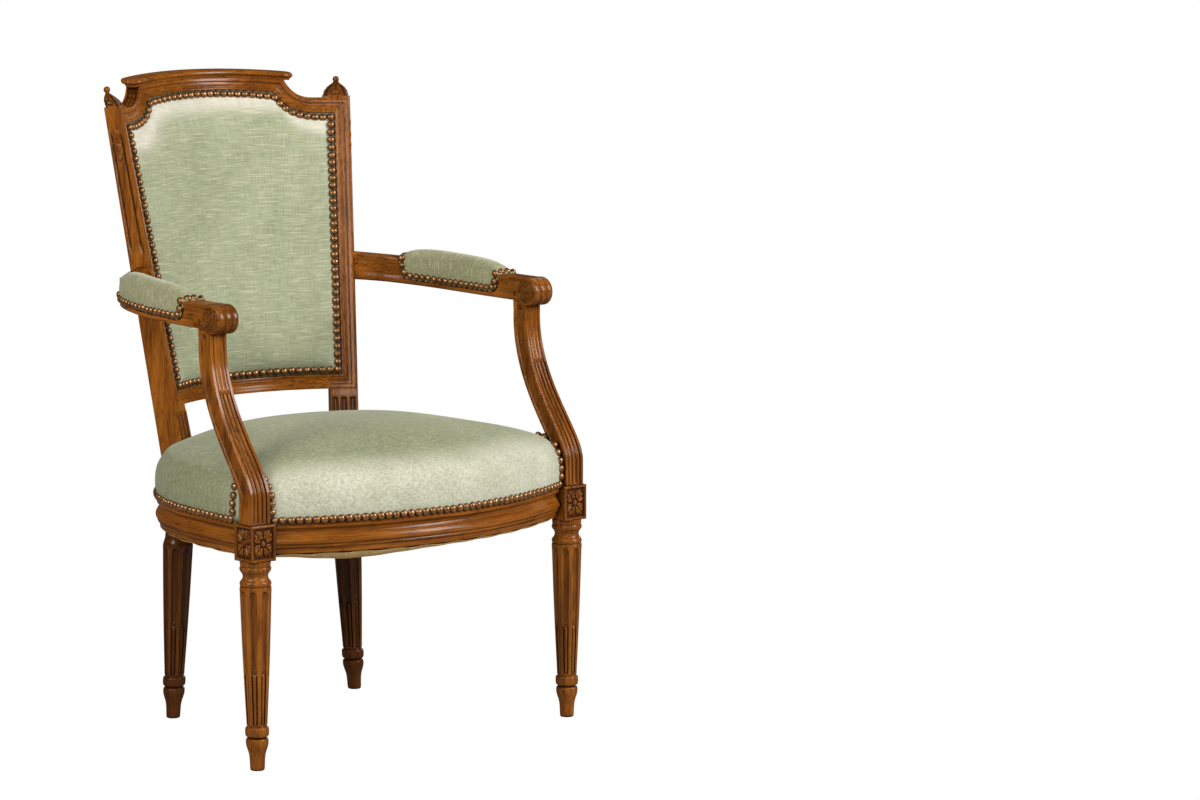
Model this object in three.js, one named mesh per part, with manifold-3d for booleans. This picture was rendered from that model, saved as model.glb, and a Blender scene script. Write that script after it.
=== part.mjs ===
// Upholstered open armchair with a curved, raked back.
// Millimetres, +Z up. The sitter faces -Y, and +X is the sitter's left.
// The left half of each pair is modelled, and the right half is its mirror image.

import * as THREE from 'three';
import Module from 'manifold-3d';
import { mergeVertices } from 'three/addons/utils/BufferGeometryUtils.js';

const library = await Module();
library.setup();

const { degToRad, lerp, clamp, smoothstep } = THREE.MathUtils;

// Clearances
const JOINT_GAP = 0.3; // glue line between two pieces of wood
const FABRIC_GAP = 0.6; // between upholstery and the wood that it is fitted round
const OVERRUN = 6; // how far a cutter passes the piece that it cuts

// Seat frame in plan. The line of the front leg centres is y = 0.
const LEG_SPREAD = 550.5; // between the front leg centres
const BLOCK_SIDE = 41; // square block on top of each front leg
const BLOCK_HEIGHT = 50;
const RAIL_TOP = 340; // height of the seat rails
const RAIL_HEIGHT = 43;
const RAIL_THICKNESS = 30;
const FRONT_BOW_RADIUS = 470;
const FRONT_BOW_REACH = 86; // from the leg line to the foremost point of the front rail
const SIDE_RAIL_INSET = 6; // outer face of the side rail behind the block's outer face
const SIDE_RAIL_STRAIGHT = 150; // how far back the side rail holds its line before it curves in
const SIDE_RAIL_REAR_PULL = 144; // strength of its curve at the rear post

// Back, a cone-like surface through the front outer edges of the two stiles
const BACK_LOW = 453.5; // bottom edge of the lower back rail
const BACK_HIGH = 880; // top of the stiles, below the finials
const BACK_LOW_HALF = 161.7; // half width over the stiles at those heights
const BACK_HIGH_HALF = 203;
const BACK_LOW_DEPTH = 348; // from the front leg line at those heights
const BACK_HIGH_DEPTH = 418.5;
const BACK_LOW_TURN = degToRad(40); // half of the arc that the back takes in plan at those heights
const BACK_HIGH_TURN = degToRad(44);
const POST_BEND = 380; // below this height the posts stand upright

// Stiles
const STILE_WIDTH = 38.8;
const STILE_LOW_THICKNESS = 34;
const STILE_HIGH_THICKNESS = 23;
const REBATE_DEPTH = 4; // step that the upholstery lies in
const MOULDING_WIDTH = 21.5; // visible front of a stile beside the rebate
const MOULDING_RELIEF = 2.6;
const STILE_CHANNEL_DEPTH = 1.6;
const FLUTE_WIDTH_STUMP = 7;
const FLUTE_DEPTH_STUMP = 1.8;

// Legs
const REAR_FOOT_SPREAD = 328; // between the rear leg centres at the floor
const FOOT_HEIGHT = 45;
const FOOT_RADIUS = 15.2;
const ANKLE_HEIGHT = 18;
const ANKLE_RADIUS = 16.4;
const SHAFT_FOOT_RADIUS = 14.2;
const SHAFT_TOP_RADIUS = 21.8;
const SHAFT_SWELLING = 0.6; // how far the shaft bulges at the middle of its taper
const NECK_HEIGHT = 36; // between the shaft and the block
const NECK_RADIUS = 18.6;
const COLLAR_RADIUS = 21.6;
const FLUTE_COUNT = 8;
const FLUTE_DEPTH = 2;
const FLUTE_MARGIN = 12; // plain wood above the flutes
const REED_HEIGHT = 68; // lower part of the flutes, filled with reeds
const PANEL_BORDER = 5; // frame left round the sunk panels of the block
const PANEL_DEPTH = 2.5;

// Finials
const FINIAL_HEIGHT = 21;
const FINIAL_BALL_RADIUS = 4.2;
const FINIAL_LEAN = 12; // the tip stands this far behind the middle of the stile

// Crest rail and lower back rail. Distances run along the back from its middle.
const CREST_EDGE_RISE = 13; // lower edge of the crest's mouldings above the stiles, at the middle
const CREST_SCOOP_DEPTH = 36.5; // how far that edge drops to its level beside the stiles
const CREST_SCOOP_WIDTH = 55; // from the corner where it starts to turn down to that level
const CREST_EDGE_END = 14.6; // length of that level
const CREST_FACE = 18.5; // height of the mouldings at the middle
const CREST_FACE_LOW = 21; // and beside the stiles
const CREST_TOP_WIDTH = 38; // the same measures for the top of the mouldings
const CREST_TOP_END = 14;
const CREST_FALL = 6; // how far both edges fall from the middle to their corners
const CREST_LAP = 15; // wood behind the top edge of the upholstery
const CAP_THICKNESS = 12;
const CAP_OVERHANG = 6;
const CAP_PAST_CORNER = 15; // how far the cap reaches past the top's corners
const LOWER_RAIL_HEIGHT = 38;
const LOWER_RAIL_VISIBLE = 21; // height of its mouldings below the upholstery

// Arms
const ARM_FALL = 20.5; // from the stile to the hand rest
const ARM_REAR_HEIGHT = 41;
const ARM_REAR_THICKNESS = 20;
const ARM_REAR_TURN = degToRad(25); // direction in plan in which the arm leaves the stile
const ARM_REAR_PULL = 82; // strength of its curve at the stile and at the hand rest
const ARM_FRONT_PULL = 204;
const ARM_FRONT_TOP = 632.5;
const ARM_FRONT_HEIGHT = 34.5;
const ARM_FRONT_WIDTH = 33.5;
const ARM_OUTSET = 1.75; // middle of the hand rest beyond the middle of the front leg
const SCROLL_DEPTH = 76; // centre of the scroll, behind the front leg line
const SCROLL_DROP = 20; // centre of the scroll below the top of the arm
const SCROLL_RADIUS = 23; // at the foremost point
const SCROLL_CURL = 19.5; // underneath, where the scroll ends
const SCROLL_LOBE = 1.8;
const SCROLL_INSET = 2; // root of the hand rest inside the arm's top and bottom
const SCROLL_END_TURN = degToRad(-130); // direction in which the scroll ends
const ROUNDEL_RADIUS = 11.5;
const ROUNDEL_FACE_RADIUS = 9.8;
const ROUNDEL_PROUD = 1.4;
const POCKET_START_SHARE = 0.225; // part of the arm's length that the pad takes
const POCKET_END_SHARE = 0.825;
const POCKET_FLOOR = 7; // wood left under the pad
const POCKET_ROUND = 18; // radius of the pocket's curved ends
const PAD_LIP = 3; // edge of the pad's ends above the arm
const PAD_RISE = 16; // crown of the pad above the wood
const PAD_BULGE = 3; // how far the pad swells past the arm's sides

// Consoles
const CONSOLE_BASE_WIDTH = 33;
const CONSOLE_BASE_DEPTH = 27;
const CONSOLE_TOP_WIDTH = 27;
const CONSOLE_TOP_DEPTH = 29;
const CONSOLE_SET_BACK = 4.5; // behind the front face of the block
const CONSOLE_UPRIGHT = 35; // straight foot above the block
const CONSOLE_SWEEP = 94; // how far the top stands behind the foot
const CONSOLE_UPRIGHT_TOP = 15; // straight top below the arm
const REED_COUNT = 3;
const REED_DEPTH = 2.2;

// Counts of flat steps along the curved pieces
const FRONT_RAIL_STEPS = 14;
const SIDE_RAIL_STEPS = 10;
const REAR_RAIL_STEPS = 8;
const STILE_STEPS = 4;
const CREST_LEVEL_STEPS = 4;
const CREST_SCOOP_STEPS = 5;
const CAP_END_STEPS = 4;
const CAP_END_SHARE = 0.97; // part of the cap's round end that is kept
const LOWER_RAIL_STEPS = 14;
const BACK_PAD_ROWS = 8;
const ARM_STEPS = 11;
const POCKET_STEPS = 5;
const POCKET_END_STEPS = 3;
const CONSOLE_STEPS = 9;

// Hidden joints
const TENON_LENGTH = 13;
const TENON_THICKNESS = 9;
const TENON_HEIGHT = 24;
const BACK_TENON_HEIGHT = 22.8; // of the back's rails
const CONSOLE_TENON_WIDTH = 12.6;
const FRONT_TENON_INSET = 18.6; // from the face of the front rail to the middle of its tenons
const SIDE_TENON_INSET = 12; // the same for the side rails
const CORNER_BLOCK_LENGTH = 116;
const CORNER_BLOCK_DEPTH = 40;
const CORNER_BLOCK_HEIGHT = 26;
const CORNER_BLOCK_SET_BACK = 6.26; // middle of the front blocks behind the front rail's inner face

const CLOTH_GAP = 3; // between the cloth under the seat and the legs

// Upholstery
const SEAT_EDGE_RISE = 55; // height of the seat's nearly upright sides
const SEAT_CROWN = 105; // height of the seat's middle above the rails
const SEAT_SET_IN = 2; // cover's edge behind the face of the rails
const SEAT_SWELL = 2.5; // how far the sides bulge past that edge
const SEAT_MIDDLE_DEPTH = 150; // highest point of the seat, behind the front leg line
const BACK_PAD_CROWN = 17;
const BACK_PAD_EDGE = 4.5;
const SHEET_THICKNESS = 1.4;
const WEBBING_THICKNESS = 2;
const WEBBING_WIDTH = 64;
const WEBBING_SPACE = 31;
const WEBBING_INSET = 16.5; // ends of the strips behind the face of the rails
const DUST_COVER_SAG = 15;
const COVER_MARGIN = 7; // from the edge of a rail to the edge of cloth tacked to it
const DUST_COVER_MARGIN = 10; // the same for the cloth under the seat

// Materials

const wood = new THREE.MeshStandardMaterial({ color: 0x8a5528, roughness: 0.45, metalness: 0 });
const velvet = new THREE.MeshStandardMaterial({ color: 0x9aa582, roughness: 0.9, metalness: 0 });
const hessian = new THREE.MeshStandardMaterial({ color: 0xa48c60, roughness: 0.95, metalness: 0 });

// Geometry helpers

function facingOut(geometry) {
  const { array } = geometry.attributes.position;
  const index = geometry.index.array;
  const corner = (i) => new THREE.Vector3().fromArray(array, index[i] * 3);
  let volume = 0;
  for (let i = 0; i < index.length; i += 3) {
    volume += corner(i).dot(corner(i + 1).cross(corner(i + 2)));
  }
  if (volume < 0) {
    for (let i = 0; i < index.length; i += 3) {
      [index[i], index[i + 1]] = [index[i + 1], index[i]];
    }
  }
  return geometry;
}

function capFaces(outline) {
  const points = outline.map(([u, v]) => new THREE.Vector2(u, v));
  const turn = Math.sign(THREE.ShapeUtils.area(points));
  return THREE.ShapeUtils.triangulateShape(points, []).map(([a, b, c]) => {
    const face = Math.sign(THREE.ShapeUtils.area([points[a], points[b], points[c]]));
    return face === turn ? [a, b, c] : [a, c, b];
  });
}

// Skins a row of closed outlines. outlineAt gives the flat outline at a station,
// and place sets a point of it in space.
function loft(stations, outlineAt, place) {
  const outlines = stations.map(outlineAt);
  const count = outlines[0].length;
  const positions = [];
  const indices = [];
  outlines.forEach((outline, i) => {
    outline.forEach(([u, v]) => positions.push(...place(u, v, stations[i]).toArray()));
  });
  for (let i = 0; i + 1 < stations.length; i += 1) {
    for (let j = 0; j < count; j += 1) {
      const a = i * count + j;
      const b = i * count + ((j + 1) % count);
      indices.push(a, b, b + count, a, b + count, a + count);
    }
  }
  const last = (stations.length - 1) * count;
  capFaces(outlines[0]).forEach(([a, b, c]) => indices.push(a, c, b));
  capFaces(outlines[stations.length - 1]).forEach(([a, b, c]) => indices.push(last + a, last + b, last + c));
  const geometry = new THREE.BufferGeometry();
  geometry.setAttribute('position', new THREE.Float32BufferAttribute(positions, 3));
  geometry.setIndex(indices);
  return facingOut(geometry);
}

function solid(geometry) {
  const copy = geometry.clone();
  copy.deleteAttribute('normal');
  copy.deleteAttribute('uv');
  const merged = mergeVertices(copy);
  return new library.Manifold(new library.Mesh({
    numProp: 3,
    vertProperties: new Float32Array(merged.attributes.position.array),
    triVerts: new Uint32Array(merged.index.array),
  }));
}

function skin(body) {
  const mesh = body.getMesh();
  const geometry = new THREE.BufferGeometry();
  geometry.setAttribute('position', new THREE.Float32BufferAttribute(mesh.vertProperties, 3));
  geometry.setIndex(Array.from(mesh.triVerts));
  return geometry;
}

function join(first, ...others) {
  return skin(others.reduce((body, other) => body.add(solid(other)), solid(first)));
}

function cut(first, ...others) {
  return skin(others.reduce((body, other) => body.subtract(solid(other)), solid(first)));
}

function mirrored(geometry) {
  return facingOut(geometry.clone().applyMatrix4(new THREE.Matrix4().makeScale(-1, 1, 1)));
}

function spread(from, to, steps) {
  return Array.from({ length: steps + 1 }, (unused, i) => lerp(from, to, i / steps));
}

function box(centre, size, turn = 0) {
  const geometry = new THREE.BoxGeometry(...size);
  geometry.rotateZ(turn);
  return geometry.translate(...centre);
}

// Back surface

function backAt(height) {
  const low = Math.max(height, POST_BEND);
  const share = (low - BACK_LOW) / (BACK_HIGH - BACK_LOW);
  const turn = lerp(BACK_LOW_TURN, BACK_HIGH_TURN, share);
  const radius = lerp(BACK_LOW_HALF, BACK_HIGH_HALF, share) / Math.sin(turn);
  const centre = lerp(BACK_LOW_DEPTH, BACK_HIGH_DEPTH, share) - radius * Math.cos(turn);
  const thickness = lerp(STILE_LOW_THICKNESS, STILE_HIGH_THICKNESS, share);
  return { radius, centre, thickness, turn };
}

// A point at an angle from the middle of the back, some way behind its front surface
function onBack(angle, behind, height) {
  const { radius, centre } = backAt(height);
  const reach = radius + behind;
  return new THREE.Vector3(reach * Math.sin(angle), centre + reach * Math.cos(angle), height);
}

// A point measured inward from the outer edge of the left stile
function onStile(inward, behind, height) {
  const { radius, turn } = backAt(height);
  return onBack(turn - inward / radius, behind, height);
}

// Half of the angle between the stiles, with a margin added to the opening on each side
function openingAngle(height, margin) {
  const { radius, turn } = backAt(height);
  return turn - (STILE_WIDTH - margin) / radius;
}

// Turned legs

const blockBottom = RAIL_TOP - BLOCK_HEIGHT;
const railBottom = RAIL_TOP - RAIL_HEIGHT;
const railMiddle = RAIL_TOP - RAIL_HEIGHT / 2;
const legX = LEG_SPREAD / 2;
const shaftTop = blockBottom - NECK_HEIGHT;

// Rows of height, radius and the depth of the flutes, from the floor up
function legProfile() {
  const ankle = FOOT_HEIGHT + ANKLE_HEIGHT;
  const shaft = shaftTop - ankle;
  const footShares = [[0, 0.57], [0.42, 0.71], [0.68, 0.88], [0.88, 1], [1, 0.85]];
  const ankleShares = [[0.14, 0.94], [0.3, 1], [0.72, 1], [0.86, 0.94]];
  const reedShare = REED_HEIGHT / shaft;
  const fluteShare = 1 - FLUTE_MARGIN / shaft;
  const stepShare = 0.01;
  const shaftShares = [
    [0, 0],
    [2 * stepShare, 0.55],
    [reedShare, 0.55],
    [reedShare + stepShare, 1],
    [fluteShare - 4 * stepShare, 1],
    [fluteShare, 0],
    [1, 0],
  ];
  return [
    ...footShares.map(([up, out]) => [up * FOOT_HEIGHT, out * FOOT_RADIUS, 0]),
    ...ankleShares.map(([up, out]) => [FOOT_HEIGHT + up * ANKLE_HEIGHT, out * ANKLE_RADIUS, 0]),
    ...shaftShares.map(([up, flute]) => {
      const swelling = SHAFT_SWELLING * Math.sin(Math.PI * up);
      return [ankle + up * shaft, lerp(SHAFT_FOOT_RADIUS, SHAFT_TOP_RADIUS, up) + swelling, flute];
    }),
  ];
}

// Turned neck between the shaft of a front leg and its block
function neckProfile(top) {
  const neckShares = [
    [0.01, 0.6], [0.07, 1], [0.14, 0.6], [0.24, 0.05], [0.42, 0], [0.56, 0.4], [0.66, 1], [0.74, 0.85], [1, 0.9],
  ];
  return neckShares.map(([up, out]) => [lerp(shaftTop, top, up), lerp(NECK_RADIUS, COLLAR_RADIUS, out), 0]);
}

// Plain head of a rear leg
function headProfile(top) {
  const headShare = 0.25;
  return [[lerp(shaftTop, top, headShare), NECK_RADIUS, 0], [top, NECK_RADIUS, 0]];
}

// Turns a profile of height, radius and flute depth about a line that may lean
function turned(rows, footX, topX, y) {
  const top = rows[rows.length - 1][0];
  const flutePitch = (2 * Math.PI) / FLUTE_COUNT;
  const fluteShares = [[-0.3, 0], [-0.13, 1], [0.13, 1], [0.3, 0]];
  const outline = ([, radius, flute]) => {
    const points = [];
    for (let i = 0; i < FLUTE_COUNT; i += 1) {
      fluteShares.forEach(([offset, depth]) => {
        const angle = (i + offset) * flutePitch;
        const reach = radius - FLUTE_DEPTH * flute * depth;
        points.push([reach * Math.cos(angle), reach * Math.sin(angle)]);
      });
    }
    return points;
  };
  return loft(rows, outline, (u, v, [height]) => (
    new THREE.Vector3(lerp(footX, topX, height / top) + u, y + v, height)
  ));
}

// Front legs

function blockEnvelope(grow) {
  const side = BLOCK_SIDE + 2 * grow;
  return box([legX, 0, blockBottom + BLOCK_HEIGHT / 2], [side, side, BLOCK_HEIGHT + 2 * grow]);
}

function sunkPanels() {
  const opening = BLOCK_SIDE - 2 * PANEL_BORDER;
  const tall = BLOCK_HEIGHT - 2 * PANEL_BORDER;
  const middle = blockBottom + BLOCK_HEIGHT / 2;
  const face = BLOCK_SIDE / 2 - PANEL_DEPTH + OVERRUN / 2;
  return [
    box([legX, -face, middle], [opening, OVERRUN, tall]),
    box([legX + face, 0, middle], [OVERRUN, opening, tall]),
  ];
}

// Side rail in plan, by the line of its outer face

const sideRailX = legX + BLOCK_SIDE / 2 - SIDE_RAIL_INSET;
const postTurn = backAt(POST_BEND).turn;
const postHalfThickness = backAt(POST_BEND).thickness / 2;
const postFoot = onStile(STILE_WIDTH / 2, postHalfThickness, 0);
const postOutward = new THREE.Vector3(Math.cos(postTurn), -Math.sin(postTurn), 0);
const postSide = onStile(0, postHalfThickness + RAIL_THICKNESS / 2, 0);
const sideRailCurve = new THREE.CubicBezierCurve3(
  new THREE.Vector3(sideRailX, 0, 0),
  new THREE.Vector3(sideRailX, SIDE_RAIL_STRAIGHT, 0),
  postSide.clone().addScaledVector(postOutward, SIDE_RAIL_REAR_PULL),
  postSide,
);

function besideSideRail(share, outward, height) {
  const point = sideRailCurve.getPoint(share);
  const along = sideRailCurve.getTangent(share);
  return new THREE.Vector3(point.x + along.y * outward, point.y - along.x * outward, height);
}

function besideFrontRail(x, outward, height) {
  const reach = FRONT_BOW_RADIUS + outward;
  const angle = Math.asin(x / FRONT_BOW_RADIUS);
  const centre = FRONT_BOW_RADIUS - FRONT_BOW_REACH;
  return new THREE.Vector3(reach * Math.sin(angle), centre - reach * Math.cos(angle), height);
}

// Moulded section of the seat rails: distance outward from the face, height above the bottom
function railSection() {
  const faceShares = [
    [-0.1, 1], [-0.06, 0.98], [-0.04, 0.83], [-0.1, 0.8], [-0.2, 0.74], [-0.21, 0.66], [-0.12, 0.57],
    [-0.02, 0.48], [0, 0.4], [-0.03, 0.31], [-0.12, 0.27], [-0.07, 0.23], [-0.12, 0.18], [-0.2, 0.15], [-0.2, 0],
  ];
  const face = faceShares.map(([out, up]) => [out * RAIL_THICKNESS, up * RAIL_HEIGHT]);
  return [[-RAIL_THICKNESS, 0], [-RAIL_THICKNESS, RAIL_HEIGHT], ...face];
}

const frontStations = spread(-legX, legX, FRONT_RAIL_STEPS);
const sideStations = spread(0, 1, SIDE_RAIL_STEPS);
const rearTurn = postTurn - STILE_WIDTH / 2 / backAt(POST_BEND).radius;
const rearStations = spread(-rearTurn, rearTurn, REAR_RAIL_STEPS);

// The space that a rail takes before its mouldings are cut
function plainRailSection(grow) {
  return [
    [-RAIL_THICKNESS - grow, -grow],
    [-RAIL_THICKNESS - grow, RAIL_HEIGHT + grow],
    [grow, RAIL_HEIGHT + grow],
    [grow, -grow],
  ];
}

function frontRailBody(section) {
  return loft(frontStations, section, (u, v, x) => besideFrontRail(x, u, railBottom + v));
}

function sideRailBody(section) {
  return loft(sideStations, section, (u, v, share) => besideSideRail(share, u, railBottom + v));
}

function rearRailBody(grow) {
  const face = (backAt(0).thickness + RAIL_THICKNESS) / 2;
  return loft(rearStations, () => plainRailSection(grow), (u, v, angle) => (
    onBack(angle, face + u, 0).setZ(railBottom + v)
  ));
}

// Rear posts

function postOutline(grow) {
  return (height) => {
    const rear = backAt(height).thickness + grow;
    return [[-grow, -grow], [STILE_WIDTH + grow, -grow], [STILE_WIDTH + grow, rear], [-grow, rear]];
  };
}

const crestEdge = BACK_HIGH + CREST_EDGE_RISE;
const crestEdgeLow = crestEdge - CREST_SCOOP_DEPTH;
const rebateLow = BACK_LOW + LOWER_RAIL_VISIBLE;
const stileHeights = spread(BACK_LOW, BACK_HIGH, STILE_STEPS);

// The post without its mouldings, from below the seat rails to the top of the stile
function postEnvelope(grow) {
  const heights = [railBottom - BLOCK_HEIGHT, POST_BEND, ...stileHeights];
  return loft(heights, postOutline(grow), (u, v, height) => onStile(u, v, height));
}

function stumpOutline(height) {
  const { thickness } = backAt(height);
  const count = 3;
  const pitch = STILE_WIDTH / count;
  const front = [];
  for (let i = 0; i < count; i += 1) {
    const middle = (i + 0.5) * pitch;
    front.push([middle - FLUTE_WIDTH_STUMP / 2, 0], [middle - FLUTE_WIDTH_STUMP / 5, FLUTE_DEPTH_STUMP]);
    front.push([middle + FLUTE_WIDTH_STUMP / 5, FLUTE_DEPTH_STUMP], [middle + FLUTE_WIDTH_STUMP / 2, 0]);
  }
  return [[0, 0], ...front, [STILE_WIDTH, 0], [STILE_WIDTH, thickness], [0, thickness]];
}

// The stile is rebated for the upholstery, and plain where the back's rails meet it
function stileOutline([height, rebate]) {
  const { thickness } = backAt(height);
  const faceShares = [
    [0.02, 0.25], [0.08, 0], [0.24, 0], [0.3, 0.75], [0.42, 1], [0.6, 0.7], [0.7, 0.3], [0.76, 0.6], [0.84, 0.1],
    [0.95, 0.1],
  ];
  const channelShares = [[0, 0.86], [1, 0.78], [1, 0.24], [0, 0.16]];
  const face = faceShares.map(([u, v]) => [u * MOULDING_WIDTH, v * MOULDING_RELIEF]);
  const channel = channelShares.map(([u, v]) => [u * STILE_CHANNEL_DEPTH, v * thickness]);
  return [
    ...face, [MOULDING_WIDTH, rebate], [STILE_WIDTH, rebate], [STILE_WIDTH, thickness], [0, thickness], ...channel,
  ];
}

function stileBody() {
  const plainShare = 0.1;
  const plain = MOULDING_RELIEF * plainShare;
  const stations = [
    [BACK_LOW - JOINT_GAP, plain],
    [rebateLow, plain],
    [rebateLow + JOINT_GAP / 2, REBATE_DEPTH],
    ...stileHeights.slice(1, -1).map((height) => [height, REBATE_DEPTH]),
    [crestEdgeLow - JOINT_GAP / 2, REBATE_DEPTH],
    [crestEdgeLow, plain],
    [BACK_HIGH, plain],
  ];
  return loft(stations, stileOutline, (u, v, [height]) => onStile(u, v, height));
}

function finial() {
  const { thickness } = backAt(BACK_HIGH);
  const riseShares = [
    [-0.06, 0.93], [0, 0.93], [0.04, 1], [0.12, 1], [0.2, 0.91], [0.42, 0.8], [0.64, 0.6], [0.8, 0.37],
    [0.9, 0.19], [1, 0.15],
  ];
  const sides = 16;
  const square = (value) => Math.sign(value) * Math.sqrt(Math.abs(value));
  const outline = ([, width]) => Array.from({ length: sides }, (unused, i) => {
    const angle = (2 * Math.PI * i) / sides;
    return [square(Math.cos(angle)) * width * STILE_WIDTH / 2, square(Math.sin(angle)) * width * thickness / 2];
  });
  const place = (u, v, [rise]) => {
    const lean = FINIAL_LEAN * clamp(rise, 0, 1);
    const point = onStile(STILE_WIDTH / 2 + u, thickness / 2 + v + lean, BACK_HIGH);
    return point.setZ(BACK_HIGH + rise * FINIAL_HEIGHT);
  };
  const ball = new THREE.SphereGeometry(FINIAL_BALL_RADIUS, 12, 8);
  const tip = place(0, 0, [1]);
  const sunkShare = 0.2;
  ball.rotateX(Math.PI / 2).translate(tip.x, tip.y, tip.z + FINIAL_BALL_RADIUS * (1 - sunkShare));
  return join(loft(riseShares, outline, place), ball);
}

function rearPost() {
  const foot = [...legProfile(), ...headProfile(railBottom)];
  const leg = turned(foot, REAR_FOOT_SPREAD / 2, postFoot.x, postFoot.y);
  const seatBlock = loft([railBottom - JOINT_GAP, RAIL_TOP], postOutline(0), onStile);
  const stump = loft([RAIL_TOP - JOINT_GAP, POST_BEND, BACK_LOW], stumpOutline, onStile);
  return join(leg, seatBlock, stump, stileBody(), finial());
}

// Back rails

function lowerRailSection() {
  const { thickness } = backAt(BACK_LOW + LOWER_RAIL_HEIGHT);
  const faceShares = [
    [0.12, 0], [0, 0.12], [0, 0.3], [0.55, 0.36], [0.9, 0.46], [0.5, 0.62], [0.1, 0.68], [0.1, 0.74], [0.7, 0.78],
    [0.3, 0.84], [0.1, 0.9], [0.3, 1],
  ];
  const face = faceShares.map(([deep, up]) => [deep * MOULDING_RELIEF, up * LOWER_RAIL_VISIBLE]);
  return [
    ...face,
    [REBATE_DEPTH, LOWER_RAIL_VISIBLE],
    [REBATE_DEPTH, LOWER_RAIL_HEIGHT],
    [thickness, LOWER_RAIL_HEIGHT],
    [thickness, 0],
  ];
}

function lowerRailBody() {
  return loft(spread(-1, 1, LOWER_RAIL_STEPS), lowerRailSection, (u, v, share) => {
    const height = BACK_LOW + v;
    return onBack(share * openingAngle(height, -JOINT_GAP), u, height);
  });
}

// The mouldings of the crest run level, turn down at a corner and level out beside the stiles
function scoop(cornerAt, cornerHeight, levelAt, levelHeight) {
  const reach = levelAt - cornerAt;
  const turn = 2 * Math.atan((cornerHeight - levelHeight) / reach);
  const radius = reach / Math.sin(turn);
  const pointAt = (share) => {
    const angle = turn * (1 - share);
    return [levelAt - radius * Math.sin(angle), levelHeight + radius * (1 - Math.cos(angle))];
  };
  const heightAt = (distance) => {
    if (distance >= levelAt) {
      return levelHeight;
    }
    return levelHeight + radius - Math.sqrt(radius ** 2 - (levelAt - distance) ** 2);
  };
  return { pointAt, heightAt };
}

// The crest ends short of the stiles
function crestEndAt(height) {
  return openingAngle(height, -JOINT_GAP) * backAt(height).radius;
}

const crestTop = crestEdge + CREST_FACE;
const crestTopLow = crestEdgeLow + CREST_FACE_LOW;
const edgeLevelAt = crestEndAt(crestEdgeLow) - CREST_EDGE_END;
const edgeCornerAt = edgeLevelAt - CREST_SCOOP_WIDTH;
const topLevelAt = crestEndAt(crestTopLow) - CREST_TOP_END;
const topCornerAt = topLevelAt - CREST_TOP_WIDTH;
const crestEdgeScoop = scoop(edgeCornerAt, crestEdge - CREST_FALL, edgeLevelAt, crestEdgeLow);
const crestTopScoop = scoop(topCornerAt, crestTop - CREST_FALL, topLevelAt, crestTopLow);

function crestEdgeAt(distance) {
  if (distance < edgeCornerAt) {
    return crestEdge - CREST_FALL * (distance / edgeCornerAt) ** 2;
  }
  return crestEdgeScoop.heightAt(distance);
}

// A point of the crest at a distance from the middle
function alongCrest(distance, behind, height) {
  return onBack(distance / backAt(height).radius, behind, height);
}

// Each station pairs a point on the lower edge with one on the top edge
function crestStations() {
  const level = spread(0, 1, CREST_LEVEL_STEPS).map((share) => ({
    edge: [edgeCornerAt * share, crestEdge - CREST_FALL * share ** 2],
    top: [topCornerAt * share, crestTop - CREST_FALL * share ** 2],
  }));
  const curved = spread(0, 1, CREST_SCOOP_STEPS).slice(1).map((share) => ({
    edge: crestEdgeScoop.pointAt(share),
    top: crestTopScoop.pointAt(share),
  }));
  const end = {
    edge: [crestEndAt(crestEdgeLow), crestEdgeLow],
    top: [crestEndAt(crestTopLow), crestTopLow],
  };
  const left = [...level, ...curved, end];
  const flip = ([distance, height]) => [-distance, height];
  const right = left.slice(1).reverse().map(({ edge, top }) => ({ edge: flip(edge), top: flip(top) }));
  return [...right, ...left];
}

function crestSection({ edge, top }) {
  const { thickness } = backAt(BACK_HIGH);
  const lapShare = -CREST_LAP / Math.hypot(top[0] - edge[0], top[1] - edge[1]);
  const faceShares = [
    [0, 0.4], [0.05, 0.1], [0.14, 0.1], [0.2, 0.6], [0.26, 0.3], [0.44, 0.85], [0.62, 0.9], [0.7, 0], [0.95, 0],
    [1, 0.2],
  ];
  const face = faceShares.map(([across, deep]) => [across, deep * MOULDING_RELIEF]);
  return [[lapShare, thickness], [lapShare, REBATE_DEPTH], [0, REBATE_DEPTH], ...face, [1, thickness]];
}

function capSection(half) {
  const profileShares = [[0.8, 0], [0.8, 0.4], [1, 0.5], [1, 0.82], [0.9, 1]];
  const rear = profileShares.map(([across, up]) => [across * half, up * CAP_THICKNESS]);
  const front = rear.map(([across, up]) => [-across, up]).reverse();
  return [...rear, ...front];
}

function crestCap() {
  const { thickness } = backAt(BACK_HIGH);
  const half = thickness / 2 + CAP_OVERHANG;
  const straight = topCornerAt + CAP_PAST_CORNER - half;
  const middle = spread(0, straight, CREST_LEVEL_STEPS).map((at) => ({ at, narrow: 1 }));
  const round = spread(0, 1, CAP_END_STEPS).slice(1).map((share) => ({
    at: straight + half * Math.sin((share * Math.PI) / 2) * CAP_END_SHARE,
    narrow: Math.sqrt(1 - (Math.sin((share * Math.PI) / 2) * CAP_END_SHARE) ** 2),
  }));
  const left = [...middle, ...round];
  const right = left.slice(1).reverse().map(({ at, narrow }) => ({ at: -at, narrow }));
  return loft([...right, ...left], ({ narrow }) => capSection(half * narrow), (u, v, { at }) => {
    const fall = CREST_FALL * (at / topCornerAt) ** 2;
    return alongCrest(at, thickness / 2 + u, crestTop - JOINT_GAP - fall + v);
  });
}

function crestRailBody() {
  const body = loft(crestStations(), crestSection, (u, v, { edge, top }) => (
    alongCrest(lerp(edge[0], top[0], u), v, lerp(edge[1], top[1], u))
  ));
  return join(body, crestCap());
}

// Arms

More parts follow.
